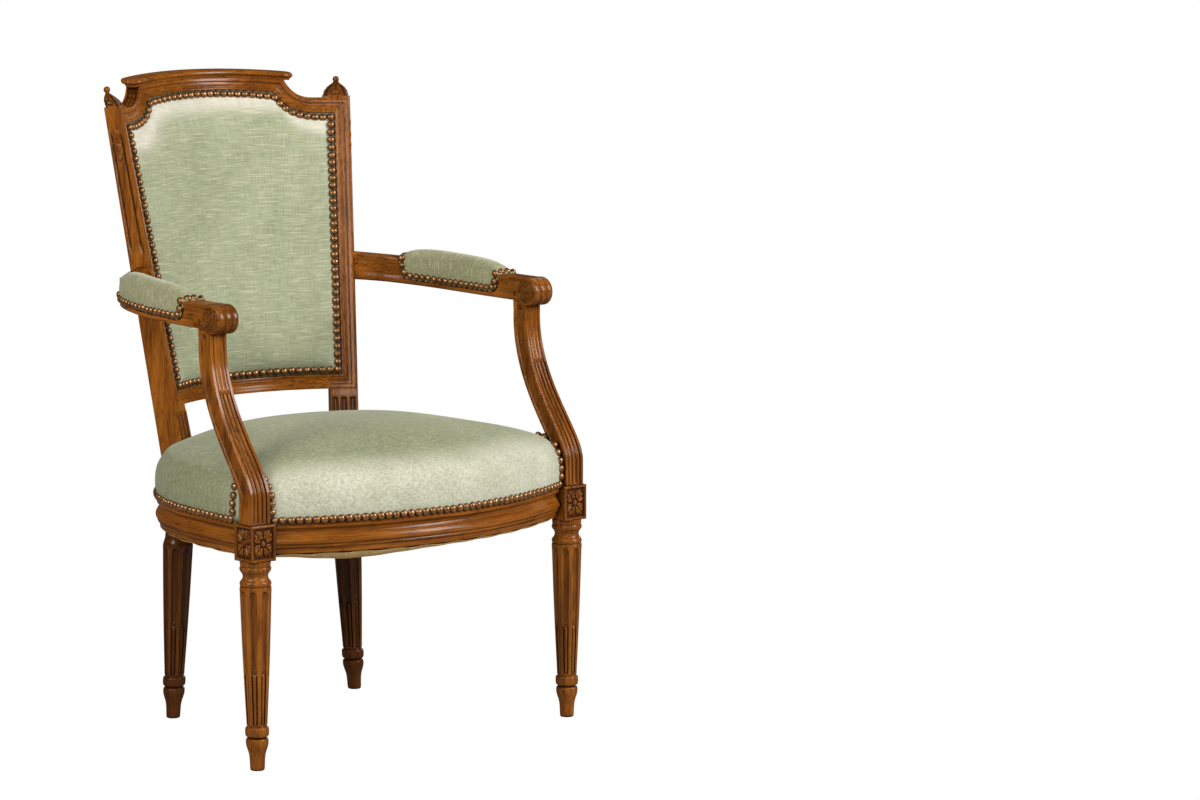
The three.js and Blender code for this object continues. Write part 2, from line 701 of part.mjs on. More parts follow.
const armX = legX + ARM_OUTSET;
const armRearTop = ARM_FRONT_TOP + ARM_FALL;
const armRear = onStile(0, backAt(armRearTop).thickness / 2, armRearTop - ARM_REAR_HEIGHT / 2);
const armTurn = backAt(armRearTop).turn;
const armOutward = new THREE.Vector3(Math.cos(armTurn), -Math.sin(armTurn), 0);
const armRearLine = new THREE.Vector3(Math.cos(ARM_REAR_TURN), -Math.sin(ARM_REAR_TURN), 0);
const armCurve = new THREE.CubicBezierCurve3(
  armRear.clone().addScaledVector(armRearLine, -STILE_WIDTH / 8).setZ(0),
  armRear.clone().addScaledVector(armRearLine, ARM_REAR_PULL).setZ(0),
  new THREE.Vector3(armX, SCROLL_DEPTH + ARM_FRONT_PULL, 0),
  new THREE.Vector3(armX, SCROLL_DEPTH, 0),
);

function besideArm(share, aside, height) {
  const point = armCurve.getPointAt(share);
  const along = armCurve.getTangentAt(share);
  return new THREE.Vector3(point.x - along.y * aside, point.y + along.x * aside, height);
}

const widenStartShare = 0.05;
const widenEndShare = 0.3;
const armTopAt = (share) => lerp(ARM_FRONT_TOP, armRearTop, (1 - share) ** 2);
const armHeightAt = (share) => lerp(ARM_FRONT_HEIGHT, ARM_REAR_HEIGHT, (1 - share) ** 2);
const armWidthAt = (share) => (
  lerp(ARM_REAR_THICKNESS, ARM_FRONT_WIDTH, smoothstep(share, widenStartShare, widenEndShare))
);

function armOutline(share) {
  const half = armWidthAt(share) / 2;
  const top = armTopAt(share);
  const tall = armHeightAt(share);
  const sideShares = [[0.8, 0], [1, 0.08], [1, 0.2], [0.86, 0.26], [0.86, 0.72], [1, 0.78], [1, 0.92], [0.88, 1]];
  const right = sideShares.map(([u, v]) => [u * half, top - tall + v * tall]);
  const left = sideShares.map(([u, v]) => [-u * half, top - tall + v * tall]).reverse();
  return [...right, ...left];
}

// The pocket in the top of the arm that the pad lies in, with ends that curve up to the arm's top
function pocket(inset) {
  const length = armCurve.getLength();
  const start = POCKET_START_SHARE + inset / length;
  const end = POCKET_END_SHARE - inset / length;
  const round = POCKET_ROUND / length;
  const floorAt = (share) => {
    const near = clamp(Math.min(share - start, end - share) / round, 0, 1);
    const rise = (armHeightAt(share) - POCKET_FLOOR) * (1 - Math.sqrt(1 - (1 - near) ** 2));
    return armTopAt(share) - armHeightAt(share) + POCKET_FLOOR + rise + inset;
  };
  const stations = [
    ...spread(start, start + round, POCKET_END_STEPS),
    ...spread(start + round, end - round, POCKET_STEPS).slice(1, -1),
    ...spread(end - round, end, POCKET_END_STEPS),
  ];
  return { start, end, floorAt, stations };
}

function pocketCutter() {
  const { floorAt, stations } = pocket(0);
  const outline = (share) => [
    [-ARM_FRONT_WIDTH, floorAt(share)],
    [ARM_FRONT_WIDTH, floorAt(share)],
    [ARM_FRONT_WIDTH, armRearTop + OVERRUN],
    [-ARM_FRONT_WIDTH, armRearTop + OVERRUN],
  ];
  return loft(stations, outline, (u, v, share) => besideArm(share, u, v));
}

function armPad() {
  const { start, end, floorAt, stations } = pocket(FABRIC_GAP);
  const sideShares = [
    [0.9, 0, 0], [1, 0.04, 0], [1, 0.25, 0.8], [1, 0.5, 1], [0.92, 0.75, 0.6], [0.7, 0.92, 0.2], [0.36, 0.99, 0],
  ];
  const outline = (share) => {
    const run = (2 * share - start - end) / (end - start);
    const full = Math.sqrt(Math.max(0, 1 - Math.abs(run) ** 3));
    const half = armWidthAt(share) / 2;
    const floor = floorAt(share);
    const top = armTopAt(share) + PAD_LIP + PAD_RISE * full;
    const left = sideShares.map(([across, up, bulge]) => (
      [across * half + bulge * full * PAD_BULGE, lerp(floor, top, up)]
    ));
    const right = left.map(([across, height]) => [-across, height]).reverse();
    return [...left, [0, top], ...right];
  };
  return loft(stations, outline, (u, v, share) => besideArm(share, u, v));
}

// Side view of the hand rest: arm top, round the nose, and back under the scroll
function scrollOutline(lobe) {
  const points = [];
  const rear = ARM_FRONT_WIDTH;
  const bottom = ARM_FRONT_HEIGHT - SCROLL_DROP;
  points.push([rear, SCROLL_INSET - bottom], [rear, SCROLL_DROP - SCROLL_INSET]);
  const steps = 12;
  const noseShare = 0.4;
  const curlShare = 0.9;
  for (let i = 0; i <= steps; i += 1) {
    const share = i / steps;
    const angle = lerp(Math.PI / 2, SCROLL_END_TURN, share);
    const front = lerp(SCROLL_DROP, SCROLL_RADIUS, smoothstep(share, 0, noseShare));
    const swell = lobe * Math.sin(Math.PI * clamp(share / curlShare, 0, 1));
    const reach = lerp(front, SCROLL_CURL, smoothstep(share, noseShare, curlShare)) + swell;
    points.push([-reach * Math.cos(angle), reach * Math.sin(angle)]);
  }
  return points;
}

function handRest() {
  const half = ARM_FRONT_WIDTH / 2;
  const scroll = new THREE.Vector3(armX, SCROLL_DEPTH, ARM_FRONT_TOP - SCROLL_DROP);
  const lobeShares = [
    [-1, 0], [-0.94, 0.5], [-0.66, 1], [-0.36, 0.1], [-0.3, 0.1], [0, 1], [0.3, 0.1], [0.36, 0.1], [0.66, 1],
    [0.94, 0.5], [1, 0],
  ];
  const body = loft(lobeShares, ([, lobe]) => scrollOutline(lobe * SCROLL_LOBE), (u, v, [across]) => (
    new THREE.Vector3(across * half, u, v).add(scroll)
  ));
  const roundel = new THREE.CylinderGeometry(ROUNDEL_FACE_RADIUS, ROUNDEL_RADIUS, ROUNDEL_PROUD * 2, 20);
  roundel.rotateZ(-Math.PI / 2).translate(half, 0, 0);
  const outer = roundel.clone().translate(...scroll.toArray());
  const inner = roundel.clone().rotateZ(Math.PI).translate(...scroll.toArray());
  return join(body, outer, inner);
}

function armBody() {
  const end = 1 - ARM_FRONT_WIDTH / 3 / armCurve.getLength();
  const body = loft(spread(0, end, ARM_STEPS), armOutline, (u, v, share) => besideArm(share, u, v));
  return join(body, handRest());
}

// Consoles

const consoleY = (CONSOLE_BASE_DEPTH - BLOCK_SIDE) / 2 + CONSOLE_SET_BACK;
const consoleBend = RAIL_TOP + CONSOLE_UPRIGHT;
const bendTop = ARM_FRONT_TOP - ARM_FRONT_HEIGHT - CONSOLE_UPRIGHT_TOP;
const bendRise = bendTop - consoleBend;
const lowPullShare = 0.17;
const highPullShare = 0.5;
const overSweepShare = 1.05;
const consoleCurve = new THREE.CubicBezierCurve3(
  new THREE.Vector3(0, consoleY, consoleBend),
  new THREE.Vector3(0, consoleY, consoleBend + bendRise * lowPullShare),
  new THREE.Vector3(0, consoleY + CONSOLE_SWEEP * overSweepShare, bendTop - bendRise * highPullShare),
  new THREE.Vector3(0, consoleY + CONSOLE_SWEEP, bendTop),
);

function consoleStations(bottom, top) {
  const bend = spread(0, 1, CONSOLE_STEPS).map((share) => ({
    point: consoleCurve.getPoint(share),
    along: consoleCurve.getTangent(share),
  }));
  const up = new THREE.Vector3(0, 0, 1);
  const first = { point: new THREE.Vector3(0, consoleY, bottom), along: up };
  const last = { point: new THREE.Vector3(0, consoleY + CONSOLE_SWEEP, top), along: up };
  return [first, ...bend, last].map((station) => ({
    ...station,
    share: clamp((station.point.z - consoleBend) / bendRise, 0, 1),
  }));
}

function consoleBody(grow, bottom, top) {
  const outline = ({ share }) => {
    const half = lerp(CONSOLE_BASE_WIDTH, CONSOLE_TOP_WIDTH, share) / 2 + grow;
    const deep = lerp(CONSOLE_BASE_DEPTH, CONSOLE_TOP_DEPTH, share) / 2 + grow;
    if (grow > 0) {
      return [[-half, -deep], [half, -deep], [half, deep], [-half, deep]];
    }
    const landShare = 0.16;
    const pitch = (1 - 2 * landShare) / REED_COUNT;
    const reedShares = [[0, 1], [0.2, 0.35], [0.5, 0], [0.8, 0.35]];
    const sideShares = [[1, -1], [1, -0.6], [0.93, -0.5], [0.93, 0.5], [1, 0.6], [1, 1]];
    const front = [];
    for (let i = 0; i < REED_COUNT; i += 1) {
      reedShares.forEach(([u, depth]) => {
        front.push([(2 * (landShare + (i + u) * pitch) - 1) * half, -deep + depth * REED_DEPTH]);
      });
    }
    front.push([(1 - 2 * landShare) * half, -deep + REED_DEPTH]);
    const left = sideShares.map(([u, v]) => [u * half, v * deep]);
    const right = left.map(([u, v]) => [-u, v]).reverse();
    return [...front, ...left, ...right];
  };
  return loft(consoleStations(bottom, top), outline, (u, v, { point, along }) => (
    new THREE.Vector3(armX + u, point.y + along.z * v, point.z - along.y * v)
  ));
}

// Tenons: a block that stands out of one piece and a mortise of the same block in the other

function tenonAt(point, direction, size, grow) {
  const [length, thick, tall] = size;
  const turn = Math.atan2(direction.y, direction.x);
  const reach = length / 2 + grow / 2;
  const centre = point.clone().addScaledVector(direction, length / 2 - OVERRUN / 2 + grow / 2);
  return box(centre.toArray(), [2 * reach + OVERRUN, thick + 2 * grow, tall + 2 * grow], turn);
}

const flat = (x, y) => new THREE.Vector3(x, y, 0).normalize();
const tenonSize = [TENON_LENGTH, TENON_THICKNESS, TENON_HEIGHT];

function frontRailTenon(grow) {
  const point = besideFrontRail(legX - BLOCK_SIDE / 2, -FRONT_TENON_INSET, railMiddle);
  return tenonAt(point.setX(legX - BLOCK_SIDE / 2), flat(1, 0), tenonSize, grow);
}

function sideRailTenonFront(grow) {
  const point = new THREE.Vector3(sideRailX - SIDE_TENON_INSET, BLOCK_SIDE / 2, railMiddle);
  return tenonAt(point, flat(0, -1), tenonSize, grow);
}

function sideRailTenonRear(grow) {
  const point = onStile(0, postHalfThickness, 0).setZ(railMiddle);
  return tenonAt(point, postOutward.clone().negate(), tenonSize, grow);
}

function rearRailTenon(grow) {
  const point = onStile(STILE_WIDTH, postHalfThickness, 0).setZ(railMiddle);
  const turn = openingAngle(0, 0);
  return tenonAt(point, flat(Math.cos(turn), -Math.sin(turn)), tenonSize, grow);
}

function backRailTenon(height, grow) {
  const { thickness } = backAt(height);
  const point = onStile(STILE_WIDTH, (thickness + REBATE_DEPTH) / 2, height);
  const turn = openingAngle(height, 0);
  const size = [TENON_LENGTH, TENON_THICKNESS, BACK_TENON_HEIGHT];
  return tenonAt(point, flat(Math.cos(turn), -Math.sin(turn)), size, grow);
}

const lowerTenonHeight = BACK_LOW + LOWER_RAIL_HEIGHT / 2;
const crestTenonHeight = (crestEdgeLow - CREST_LAP + crestTopLow) / 2;

function armTenon(grow) {
  return tenonAt(armRear, armOutward.clone().negate(), tenonSize, grow);
}

function consoleTenon(grow) {
  const length = TENON_LENGTH + grow;
  const middle = RAIL_TOP - (length - OVERRUN) / 2;
  const size = [CONSOLE_TENON_WIDTH + 2 * grow, TENON_THICKNESS + 2 * grow, length + OVERRUN];
  return box([armX, consoleY, middle], size);
}

// Seat upholstery

// The seat in plan, a given distance inside the outer faces of the rails
function seatOutline(inset) {
  const front = frontStations.slice(1, -1).map((x) => besideFrontRail(x, -inset, 0));
  const left = sideStations.slice(1, -1).map((share) => besideSideRail(share, -inset, 0));
  const rearFace = (backAt(0).thickness + RAIL_THICKNESS) / 2 - inset;
  const rear = [...rearStations].reverse().map((angle) => onBack(angle, rearFace, 0));
  const right = left.map((point) => new THREE.Vector3(-point.x, point.y, 0)).reverse();
  return [...front, ...left, ...rear, ...right].map((point) => [point.x, point.y]);
}

function seatBody() {
  const base = seatOutline(SEAT_SET_IN);
  const edgeShares = [[0, 0, 0], [0, 0.8, 0.15], [0, 1, 0.45], [0.004, 0.8, 0.75], [0.02, 0.2, 0.93]];
  const crownShares = [0.05, 0.14, 0.3, 0.5, 0.74, 0.95];
  const roundness = 2.7;
  const edgeRows = edgeShares.map(([inward, swell, up]) => [inward, swell, up * SEAT_EDGE_RISE]);
  const crownRows = crownShares.map((inward) => (
    [inward, 0, lerp(SEAT_EDGE_RISE, SEAT_CROWN, 1 - (1 - inward) ** roundness)]
  ));
  const outline = ([inward, swell]) => base.map(([x, y]) => {
    const length = Math.hypot(x, y - SEAT_MIDDLE_DEPTH);
    const scale = (1 - inward) * (1 + (swell * SEAT_SWELL) / length);
    return [x * scale, SEAT_MIDDLE_DEPTH + (y - SEAT_MIDDLE_DEPTH) * scale];
  });
  return loft([...edgeRows, ...crownRows], outline, (u, v, [, , rise]) => (
    new THREE.Vector3(u, v, RAIL_TOP + JOINT_GAP + rise)
  ));
}

function seatCushion() {
  const notch = consoleBody(FABRIC_GAP, RAIL_TOP - OVERRUN, bendTop + OVERRUN);
  const post = postEnvelope(FABRIC_GAP);
  return cut(seatBody(), notch, mirrored(notch), post, mirrored(post));
}

function plate(outline, bottom, top) {
  return loft([bottom, top], () => outline, (u, v, height) => new THREE.Vector3(u, v, height));
}

// Room for the legs in the cloth under the seat
function legOpenings() {
  const side = BLOCK_SIDE + 2 * CLOTH_GAP;
  const front = box([legX, 0, blockBottom], [side, side, 2 * BLOCK_HEIGHT]);
  const rear = postEnvelope(CLOTH_GAP);
  return [front, mirrored(front), rear, mirrored(rear)];
}

// Woven seat webbing, a net of strips tacked under the rails
function seatWebbing() {
  const top = railBottom - JOINT_GAP;
  const edge = plate(seatOutline(WEBBING_INSET), top - WEBBING_THICKNESS, top);
  const holes = [];
  const pitch = WEBBING_WIDTH + WEBBING_SPACE;
  const holeLimit = plate(seatOutline(RAIL_THICKNESS), top - WEBBING_THICKNESS - OVERRUN, top + OVERRUN);
  const columns = [-2.5, -1.5, -0.5, 0.5, 1.5, 2.5];
  const rows = [-0.5, 0.5, 1.5, 2.5, 3.5, 4.5];
  columns.forEach((column) => {
    rows.forEach((row) => {
      const at = [column * pitch, row * pitch, top];
      holes.push(box(at, [WEBBING_SPACE, WEBBING_SPACE, WEBBING_THICKNESS + OVERRUN]));
    });
  });
  const net = skin(solid(edge).subtract(solid(join(...holes)).intersect(solid(holeLimit))));
  return cut(net, ...legOpenings());
}

// Cloth under the seat. Its stuffing and webbing hang on it, so that it sags.
function dustCover() {
  const outer = seatOutline(DUST_COVER_MARGIN);
  const top = railBottom - WEBBING_THICKNESS - 2 * JOINT_GAP;
  const edgeRow = [0, top];
  const sagShares = [[0, 0], [0.05, 0.11], [0.16, 0.36], [0.4, 0.71], [0.7, 0.93], [0.95, 1]];
  const sagRows = sagShares.map(([inward, drop]) => [inward, top - SHEET_THICKNESS - drop * DUST_COVER_SAG]);
  const outline = ([inward]) => outer.map(([x, y]) => (
    [x * (1 - inward), lerp(y, SEAT_MIDDLE_DEPTH, inward)]
  ));
  const cloth = loft([edgeRow, ...sagRows], outline, (u, v, [, height]) => new THREE.Vector3(u, v, height));
  return cut(cloth, ...legOpenings());
}

// Blocks glued across the corners of the seat frame and notched round the legs
function cornerBlock(middle, turn) {
  const low = railMiddle - CORNER_BLOCK_HEIGHT / 2;
  const inside = plate(seatOutline(RAIL_THICKNESS / 2), low, low + CORNER_BLOCK_HEIGHT);
  const bar = box([middle.x, middle.y, railMiddle], [CORNER_BLOCK_LENGTH, CORNER_BLOCK_DEPTH, RAIL_HEIGHT], turn);
  const railRoom = () => plainRailSection(JOINT_GAP);
  return cut(
    skin(solid(inside).intersect(solid(bar))),
    frontRailBody(railRoom),
    sideRailBody(railRoom),
    rearRailBody(JOINT_GAP),
    blockEnvelope(JOINT_GAP),
    postEnvelope(JOINT_GAP),
  );
}

const frontBlock = besideFrontRail(legX - BLOCK_SIDE / 2, -RAIL_THICKNESS, 0)
  .setX(legX - BLOCK_SIDE / 2)
  .add(new THREE.Vector3(0, CORNER_BLOCK_SET_BACK, 0));
const rearBlock = onStile(STILE_WIDTH / 2, 0, 0);

// Back upholstery, fitted between the stiles, the crest and the lower rail.
// behindAt gives the distance behind the back's surface, on its front or its rear face.
function backPanel(inset, rows, behindAt) {
  const margin = STILE_WIDTH - MOULDING_WIDTH - JOINT_GAP - inset;
  const bottom = rebateLow + JOINT_GAP + inset;
  const sideAt = (height) => openingAngle(height, margin);
  const level = spread(0, edgeCornerAt, CREST_LEVEL_STEPS);
  const curved = spread(0, 1, CREST_SCOOP_STEPS).slice(1).map((share) => crestEdgeScoop.pointAt(share)[0]);
  const half = [...level, ...curved, sideAt(crestEdgeLow) * backAt(crestEdgeLow).radius];
  const stations = [...half.slice(1).reverse().map((distance) => -distance), ...half];
  const outline = () => [
    ...spread(0, 1, rows).map((row) => [row, 0]),
    ...spread(1, 0, STILE_STEPS).map((row) => [row, 1]),
  ];
  return loft(stations, outline, (row, rear, distance) => {
    const top = crestEdgeAt(Math.abs(distance));
    const share = distance / backAt(top).radius / sideAt(top);
    const height = lerp(bottom, top - JOINT_GAP - inset, row);
    return onBack(share * sideAt(height), behindAt(rear, height, share, row), height);
  });
}

function backPad() {
  const behind = REBATE_DEPTH - SHEET_THICKNESS - 3 * JOINT_GAP;
  return backPanel(0, BACK_PAD_ROWS, (rear, height, share, row) => {
    const fullness = Math.sqrt(Math.max(0, (1 - share ** 4) * (1 - (2 * row - 1) ** 4)));
    return rear ? behind : behind - BACK_PAD_EDGE - BACK_PAD_CROWN * fullness;
  });
}

function backWebbing() {
  const front = REBATE_DEPTH - SHEET_THICKNESS - 2 * JOINT_GAP;
  return backPanel(COVER_MARGIN, STILE_STEPS, (rear) => front + rear * SHEET_THICKNESS);
}

function outsideBack() {
  return backPanel(COVER_MARGIN, STILE_STEPS, (rear, height) => (
    backAt(height).thickness + FABRIC_GAP + rear * SHEET_THICKNESS
  ));
}

// Assembly

const group = new THREE.Group();

function addMesh(name, geometry, material) {
  const mesh = new THREE.Mesh(geometry, material);
  mesh.name = name;
  group.add(mesh);
}

function addPair(name, geometry, material) {
  addMesh(`${name}_left`, geometry, material);
  addMesh(`${name}_right`, mirrored(geometry), material);
}

const growingPost = postEnvelope(JOINT_GAP);
const growingBlock = blockEnvelope(JOINT_GAP);

const frontLegRows = [...legProfile(), ...neckProfile(blockBottom + JOINT_GAP)];
const frontLeg = cut(
  join(turned(frontLegRows, legX, legX, 0), blockEnvelope(0)),
  ...sunkPanels(),
  frontRailTenon(JOINT_GAP),
  sideRailTenonFront(JOINT_GAP),
  consoleTenon(JOINT_GAP),
);
addPair('front_leg', frontLeg, wood);

const post = cut(
  rearPost(),
  sideRailTenonRear(JOINT_GAP),
  rearRailTenon(JOINT_GAP),
  backRailTenon(lowerTenonHeight, JOINT_GAP),
  backRailTenon(crestTenonHeight, JOINT_GAP),
  armTenon(JOINT_GAP),
);
addPair('rear_post', post, wood);

const frontRailEnd = box(
  [legX + OVERRUN, 0, railMiddle],
  [BLOCK_SIDE + 2 * (OVERRUN + JOINT_GAP), 2 * FRONT_BOW_REACH, RAIL_HEIGHT + OVERRUN],
);
const frontRail = join(
  cut(frontRailBody(railSection), frontRailEnd, mirrored(frontRailEnd)),
  frontRailTenon(0),
  mirrored(frontRailTenon(0)),
);
addMesh('front_seat_rail', frontRail, wood);
const sideRail = join(
  cut(sideRailBody(railSection), growingBlock, growingPost),
  sideRailTenonFront(0),
  sideRailTenonRear(0),
);
addPair('side_seat_rail', sideRail, wood);
const rearRail = join(
  cut(rearRailBody(0), growingPost, mirrored(growingPost)),
  rearRailTenon(0),
  mirrored(rearRailTenon(0)),
);
addMesh('rear_seat_rail', rearRail, wood);

const lowerTenon = backRailTenon(lowerTenonHeight, 0);
addMesh('lower_back_rail', join(lowerRailBody(), lowerTenon, mirrored(lowerTenon)), wood);
const crestTenon = backRailTenon(crestTenonHeight, 0);
addMesh('crest_rail', join(crestRailBody(), crestTenon, mirrored(crestTenon)), wood);

const consoleTop = ARM_FRONT_TOP - ARM_FRONT_HEIGHT / 2;
const consolePiece = join(consoleBody(0, RAIL_TOP + JOINT_GAP, consoleTop), consoleTenon(0));
const arm = join(
  cut(
    armBody(),
    pocketCutter(),
    postEnvelope(JOINT_GAP),
    consoleBody(JOINT_GAP, RAIL_TOP, consoleTop + JOINT_GAP),
  ),
  armTenon(0),
);
addPair('arm', arm, wood);
addPair('arm_console', consolePiece, wood);
addPair('arm_pad', armPad(), velvet);

addPair('front_corner_block', cornerBlock(frontBlock, Math.PI / 4), wood);
addPair('rear_corner_block', cornerBlock(rearBlock, -postTurn), wood);

addMesh('seat_webbing', seatWebbing(), hessian);
addMesh('seat_cushion', seatCushion(), velvet);
addMesh('dust_cover', dustCover(), hessian);
addMesh('back_webbing', backWebbing(), hessian);
addMesh('back_pad', backPad(), velvet);
addMesh('outside_back', outsideBack(), velvet);

// The origin is on the floor below the middle of the chair
const bounds = new THREE.Box3().setFromObject(group);
group.children.forEach((mesh) => mesh.geometry.translate(0, -(bounds.min.y + bounds.max.y) / 2, 0));

export default group;
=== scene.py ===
"""Looks of the armchair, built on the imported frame. Lengths are in millimetres until to_frame(). As in the
part's source, y = 0 is the line of the front leg centres, the front is -y and the chair's left is +x."""
import math

import bpy
import bmesh
import numpy as np
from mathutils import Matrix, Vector
from mathutils.kdtree import KDTree


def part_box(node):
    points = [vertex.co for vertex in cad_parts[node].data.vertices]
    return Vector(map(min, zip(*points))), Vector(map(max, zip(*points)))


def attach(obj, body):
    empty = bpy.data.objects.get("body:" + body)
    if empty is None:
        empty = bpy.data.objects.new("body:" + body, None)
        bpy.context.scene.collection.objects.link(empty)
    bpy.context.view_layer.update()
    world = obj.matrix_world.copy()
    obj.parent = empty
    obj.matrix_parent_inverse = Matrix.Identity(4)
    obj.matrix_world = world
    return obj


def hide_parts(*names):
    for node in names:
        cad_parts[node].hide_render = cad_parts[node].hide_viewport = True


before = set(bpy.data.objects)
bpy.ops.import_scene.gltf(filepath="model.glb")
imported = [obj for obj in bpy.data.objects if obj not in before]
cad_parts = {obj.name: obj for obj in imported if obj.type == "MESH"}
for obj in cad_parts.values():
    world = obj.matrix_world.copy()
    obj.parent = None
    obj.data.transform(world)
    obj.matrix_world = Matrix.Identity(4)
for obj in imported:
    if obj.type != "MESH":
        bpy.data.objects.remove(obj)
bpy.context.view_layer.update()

MM = 0.001
LEFT, RIGHT = 1, -1
MIRROR = np.array([-1, 1, 1])
CORNERS = np.array([(-1, -1), (1, -1), (1, 1), (-1, 1)])
UP = np.array([0, 0, 1.0])

leg_low, leg_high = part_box("front_leg_left")
LINE = (leg_low.y + leg_high.y) / 2
LEG_X = (leg_low.x + leg_high.x) / 2 / MM


def to_frame(points):
    """Millimetres from the leg line to metres in the row frame."""
    return np.asarray(points, float) * MM + np.array([0, LINE, 0])


# Sizes of the part, as in its source

JOINT_GAP, FABRIC_GAP = 0.3, 0.6
BLOCK_SIDE, BLOCK_HEIGHT = 41, 50
RAIL_TOP, RAIL_HEIGHT, RAIL_THICKNESS = 340, 43, 30
RAIL_BOTTOM = RAIL_TOP - RAIL_HEIGHT
BOW_RADIUS, BOW_REACH = 470, 86
BACK_LOW, BACK_HIGH = 453.5, 880
BACK_TURN_LOW, BACK_TURN_HIGH = math.radians(40), math.radians(44)
BACK_HALF_LOW, BACK_HALF_HIGH = 161.7, 203.0
BACK_SIDE_Y_LOW, BACK_SIDE_Y_HIGH = 348.0, 418.5
POST_BEND = 380
STILE_WIDTH, STILE_THICK_LOW, STILE_THICK_HIGH = 38.8, 34.0, 23.0
REBATE = 4
MOULD_WIDTH, MOULD_RELIEF = 21.5, 2.6
LOWER_VISIBLE, LOWER_HEIGHT, LOWER_THICKNESS = 21, 38, 32
CREST_EDGE, CREST_EDGE_CORNER, CREST_EDGE_LEVEL, CREST_EDGE_LOW = 893, 113, 168, 856.5
CREST_TOP, CREST_TOP_CORNER, CREST_TOP_LEVEL, CREST_TOP_LOW = 911.5, 133, 171, 877.5
CREST_FALL, CREST_LAP = 6, 15
CAP_THICKNESS, CAP_OVERHANG, CAP_HALF_LENGTH = 12, 6, 148
ARM_REAR_TOP, ARM_REAR_HEIGHT, ARM_REAR_THICKNESS = 653, 41, 20
ARM_FRONT_TOP, ARM_FRONT_HEIGHT, ARM_FRONT_WIDTH = 632.5, 34.5, 33.5
ARM_X = 277
SCROLL_Y, SCROLL_Z = 76, 612.5
POCKET_START, POCKET_END, POCKET_FLOOR, POCKET_ROUND = 0.225, 0.825, 7, 18
CONSOLE_Y = (27 - BLOCK_SIDE) / 2 + 4.5
CONSOLE_BEND, CONSOLE_BEND_TOP, CONSOLE_SWEEP = 375, 583, 94
SEAT_MIDDLE = 150


# Numbers

def mix(a, b, t):
    return a + (b - a) * t


def smooth(x, low=0.0, high=1.0):
    """0 up to low, 1 from high on, and an even step between them."""
    t = np.clip((np.asarray(x, float) - low) / (high - low), 0, 1)
    return t * t * (3 - 2 * t)


def bump(x, middle, width):
    return np.exp(-((np.asarray(x, float) - middle) / width) ** 2)


def zigzag(x):
    """1 at whole numbers, 0 half-way between them, straight in between."""
    return np.abs(np.mod(x, 1) - 0.5) * 2


def circle(count):
    """Angles evenly round a circle."""
    return np.linspace(0, 2 * math.pi, count + 1)[:-1]


def series(*parts):
    """Numbers in a row from single ones, arrays, and (first, last, count) for even steps."""
    return np.concatenate([np.linspace(*part) if isinstance(part, tuple) else np.atleast_1d(part)
                           for part in parts])


def unit(vectors):
    return vectors / np.linalg.norm(vectors, axis=-1, keepdims=True)


def stacked(*measures):
    """Points from measures that spread over the same grid."""
    return np.stack(np.broadcast_arrays(*measures), axis=-1)


def both_ways(half):
    """A measure from the middle to the left, carried on to the right."""
    return series(-half[:0:-1], half)


def run_along(points):
    """The length of a line of points, up to each of them."""
    return series(0, np.cumsum(np.linalg.norm(np.diff(points, axis=0), axis=1)))


def at_runs(values, run, at):
    """Values along a line at the lengths asked for."""
    return np.stack([np.interp(at, run, column) for column in values.T], axis=-1)


def bezier(a, b, c, d, t):
    """Points of a curve, and the way it runs there."""
    t = np.asarray(t, float)[..., None]
    s = 1 - t
    point = s ** 3 * a + 3 * s * s * t * b + 3 * s * t * t * c + t ** 3 * d
    return point, unit(3 * s * s * (b - a) + 6 * s * t * (c - b) + 3 * t * t * (d - c))


def beside(line, aside, height):
    """Places beside a curve in plan, from its points and the way it runs there."""
    (x, y, _), (ahead_x, ahead_y, _) = (np.moveaxis(values, -1, 0) for values in line)
    return stacked(x - ahead_y * aside, y + ahead_x * aside, height)


class Curve:
    """A curve measured by its own length, from 0 to 1."""

    def __init__(self, *ends):
        self.ends = [np.asarray(p, float) for p in ends]
        self.t = np.linspace(0, 1, 400)
        run = run_along(bezier(*self.ends, self.t)[0])
        self.length, self.run = run[-1], run / run[-1]

    def at(self, share):
        return bezier(*self.ends, np.interp(share, self.run, self.t))


def rounded(points, times=2, share=0.25, closed=False):
    """Cuts the corners of a line of points."""
    p = np.asarray(points, float)
    for _ in range(times):
        here, after = (p, np.roll(p, -1, axis=0)) if closed else (p[:-1], p[1:])
        line = np.stack([mix(here, after, share), mix(here, after, 1 - share)], axis=1)
        line = line.reshape(-1, p.shape[1])
        p = line if closed else np.concatenate([p[:1], line, p[-1:]])
    return p


# The surface of the back

def back_at(height):
    """Radius, centre line, thickness and half turn of the curved back. It is upright below the posts' bend."""
    low = np.maximum(np.asarray(height, float), POST_BEND)
    share = (low - BACK_LOW) / (BACK_HIGH - BACK_LOW)
    turn = mix(BACK_TURN_LOW, BACK_TURN_HIGH, share)
    radius = mix(BACK_HALF_LOW, BACK_HALF_HIGH, share) / np.sin(turn)
    centre = mix(BACK_SIDE_Y_LOW, BACK_SIDE_Y_HIGH, share) - radius * np.cos(turn)
    return radius, centre, mix(STILE_THICK_LOW, STILE_THICK_HIGH, share), turn


def thickness_at(height):
    return back_at(height)[2]


def on_back(angle, behind, height):
    radius, centre, _, _ = back_at(height)
    reach = radius + behind
    return stacked(reach * np.sin(angle), centre + reach * np.cos(angle), height)


def round_back(distance, behind, height):
    """A place on the back by its distance from the middle, measured round the curve."""
    return on_back(distance / back_at(height)[0], behind, height)


def on_stile(inward, behind, height):
    """A place on the left stile, by its distance from the outer edge."""
    radius, _, _, turn = back_at(height)
    return on_back(turn - np.asarray(inward) / radius, behind, height)


def opening(height, margin=0.0):
    """Half of the angle between the stiles, with a margin that reaches over each stile."""
    radius, _, _, turn = back_at(height)
    return turn - (STILE_WIDTH - margin) / radius


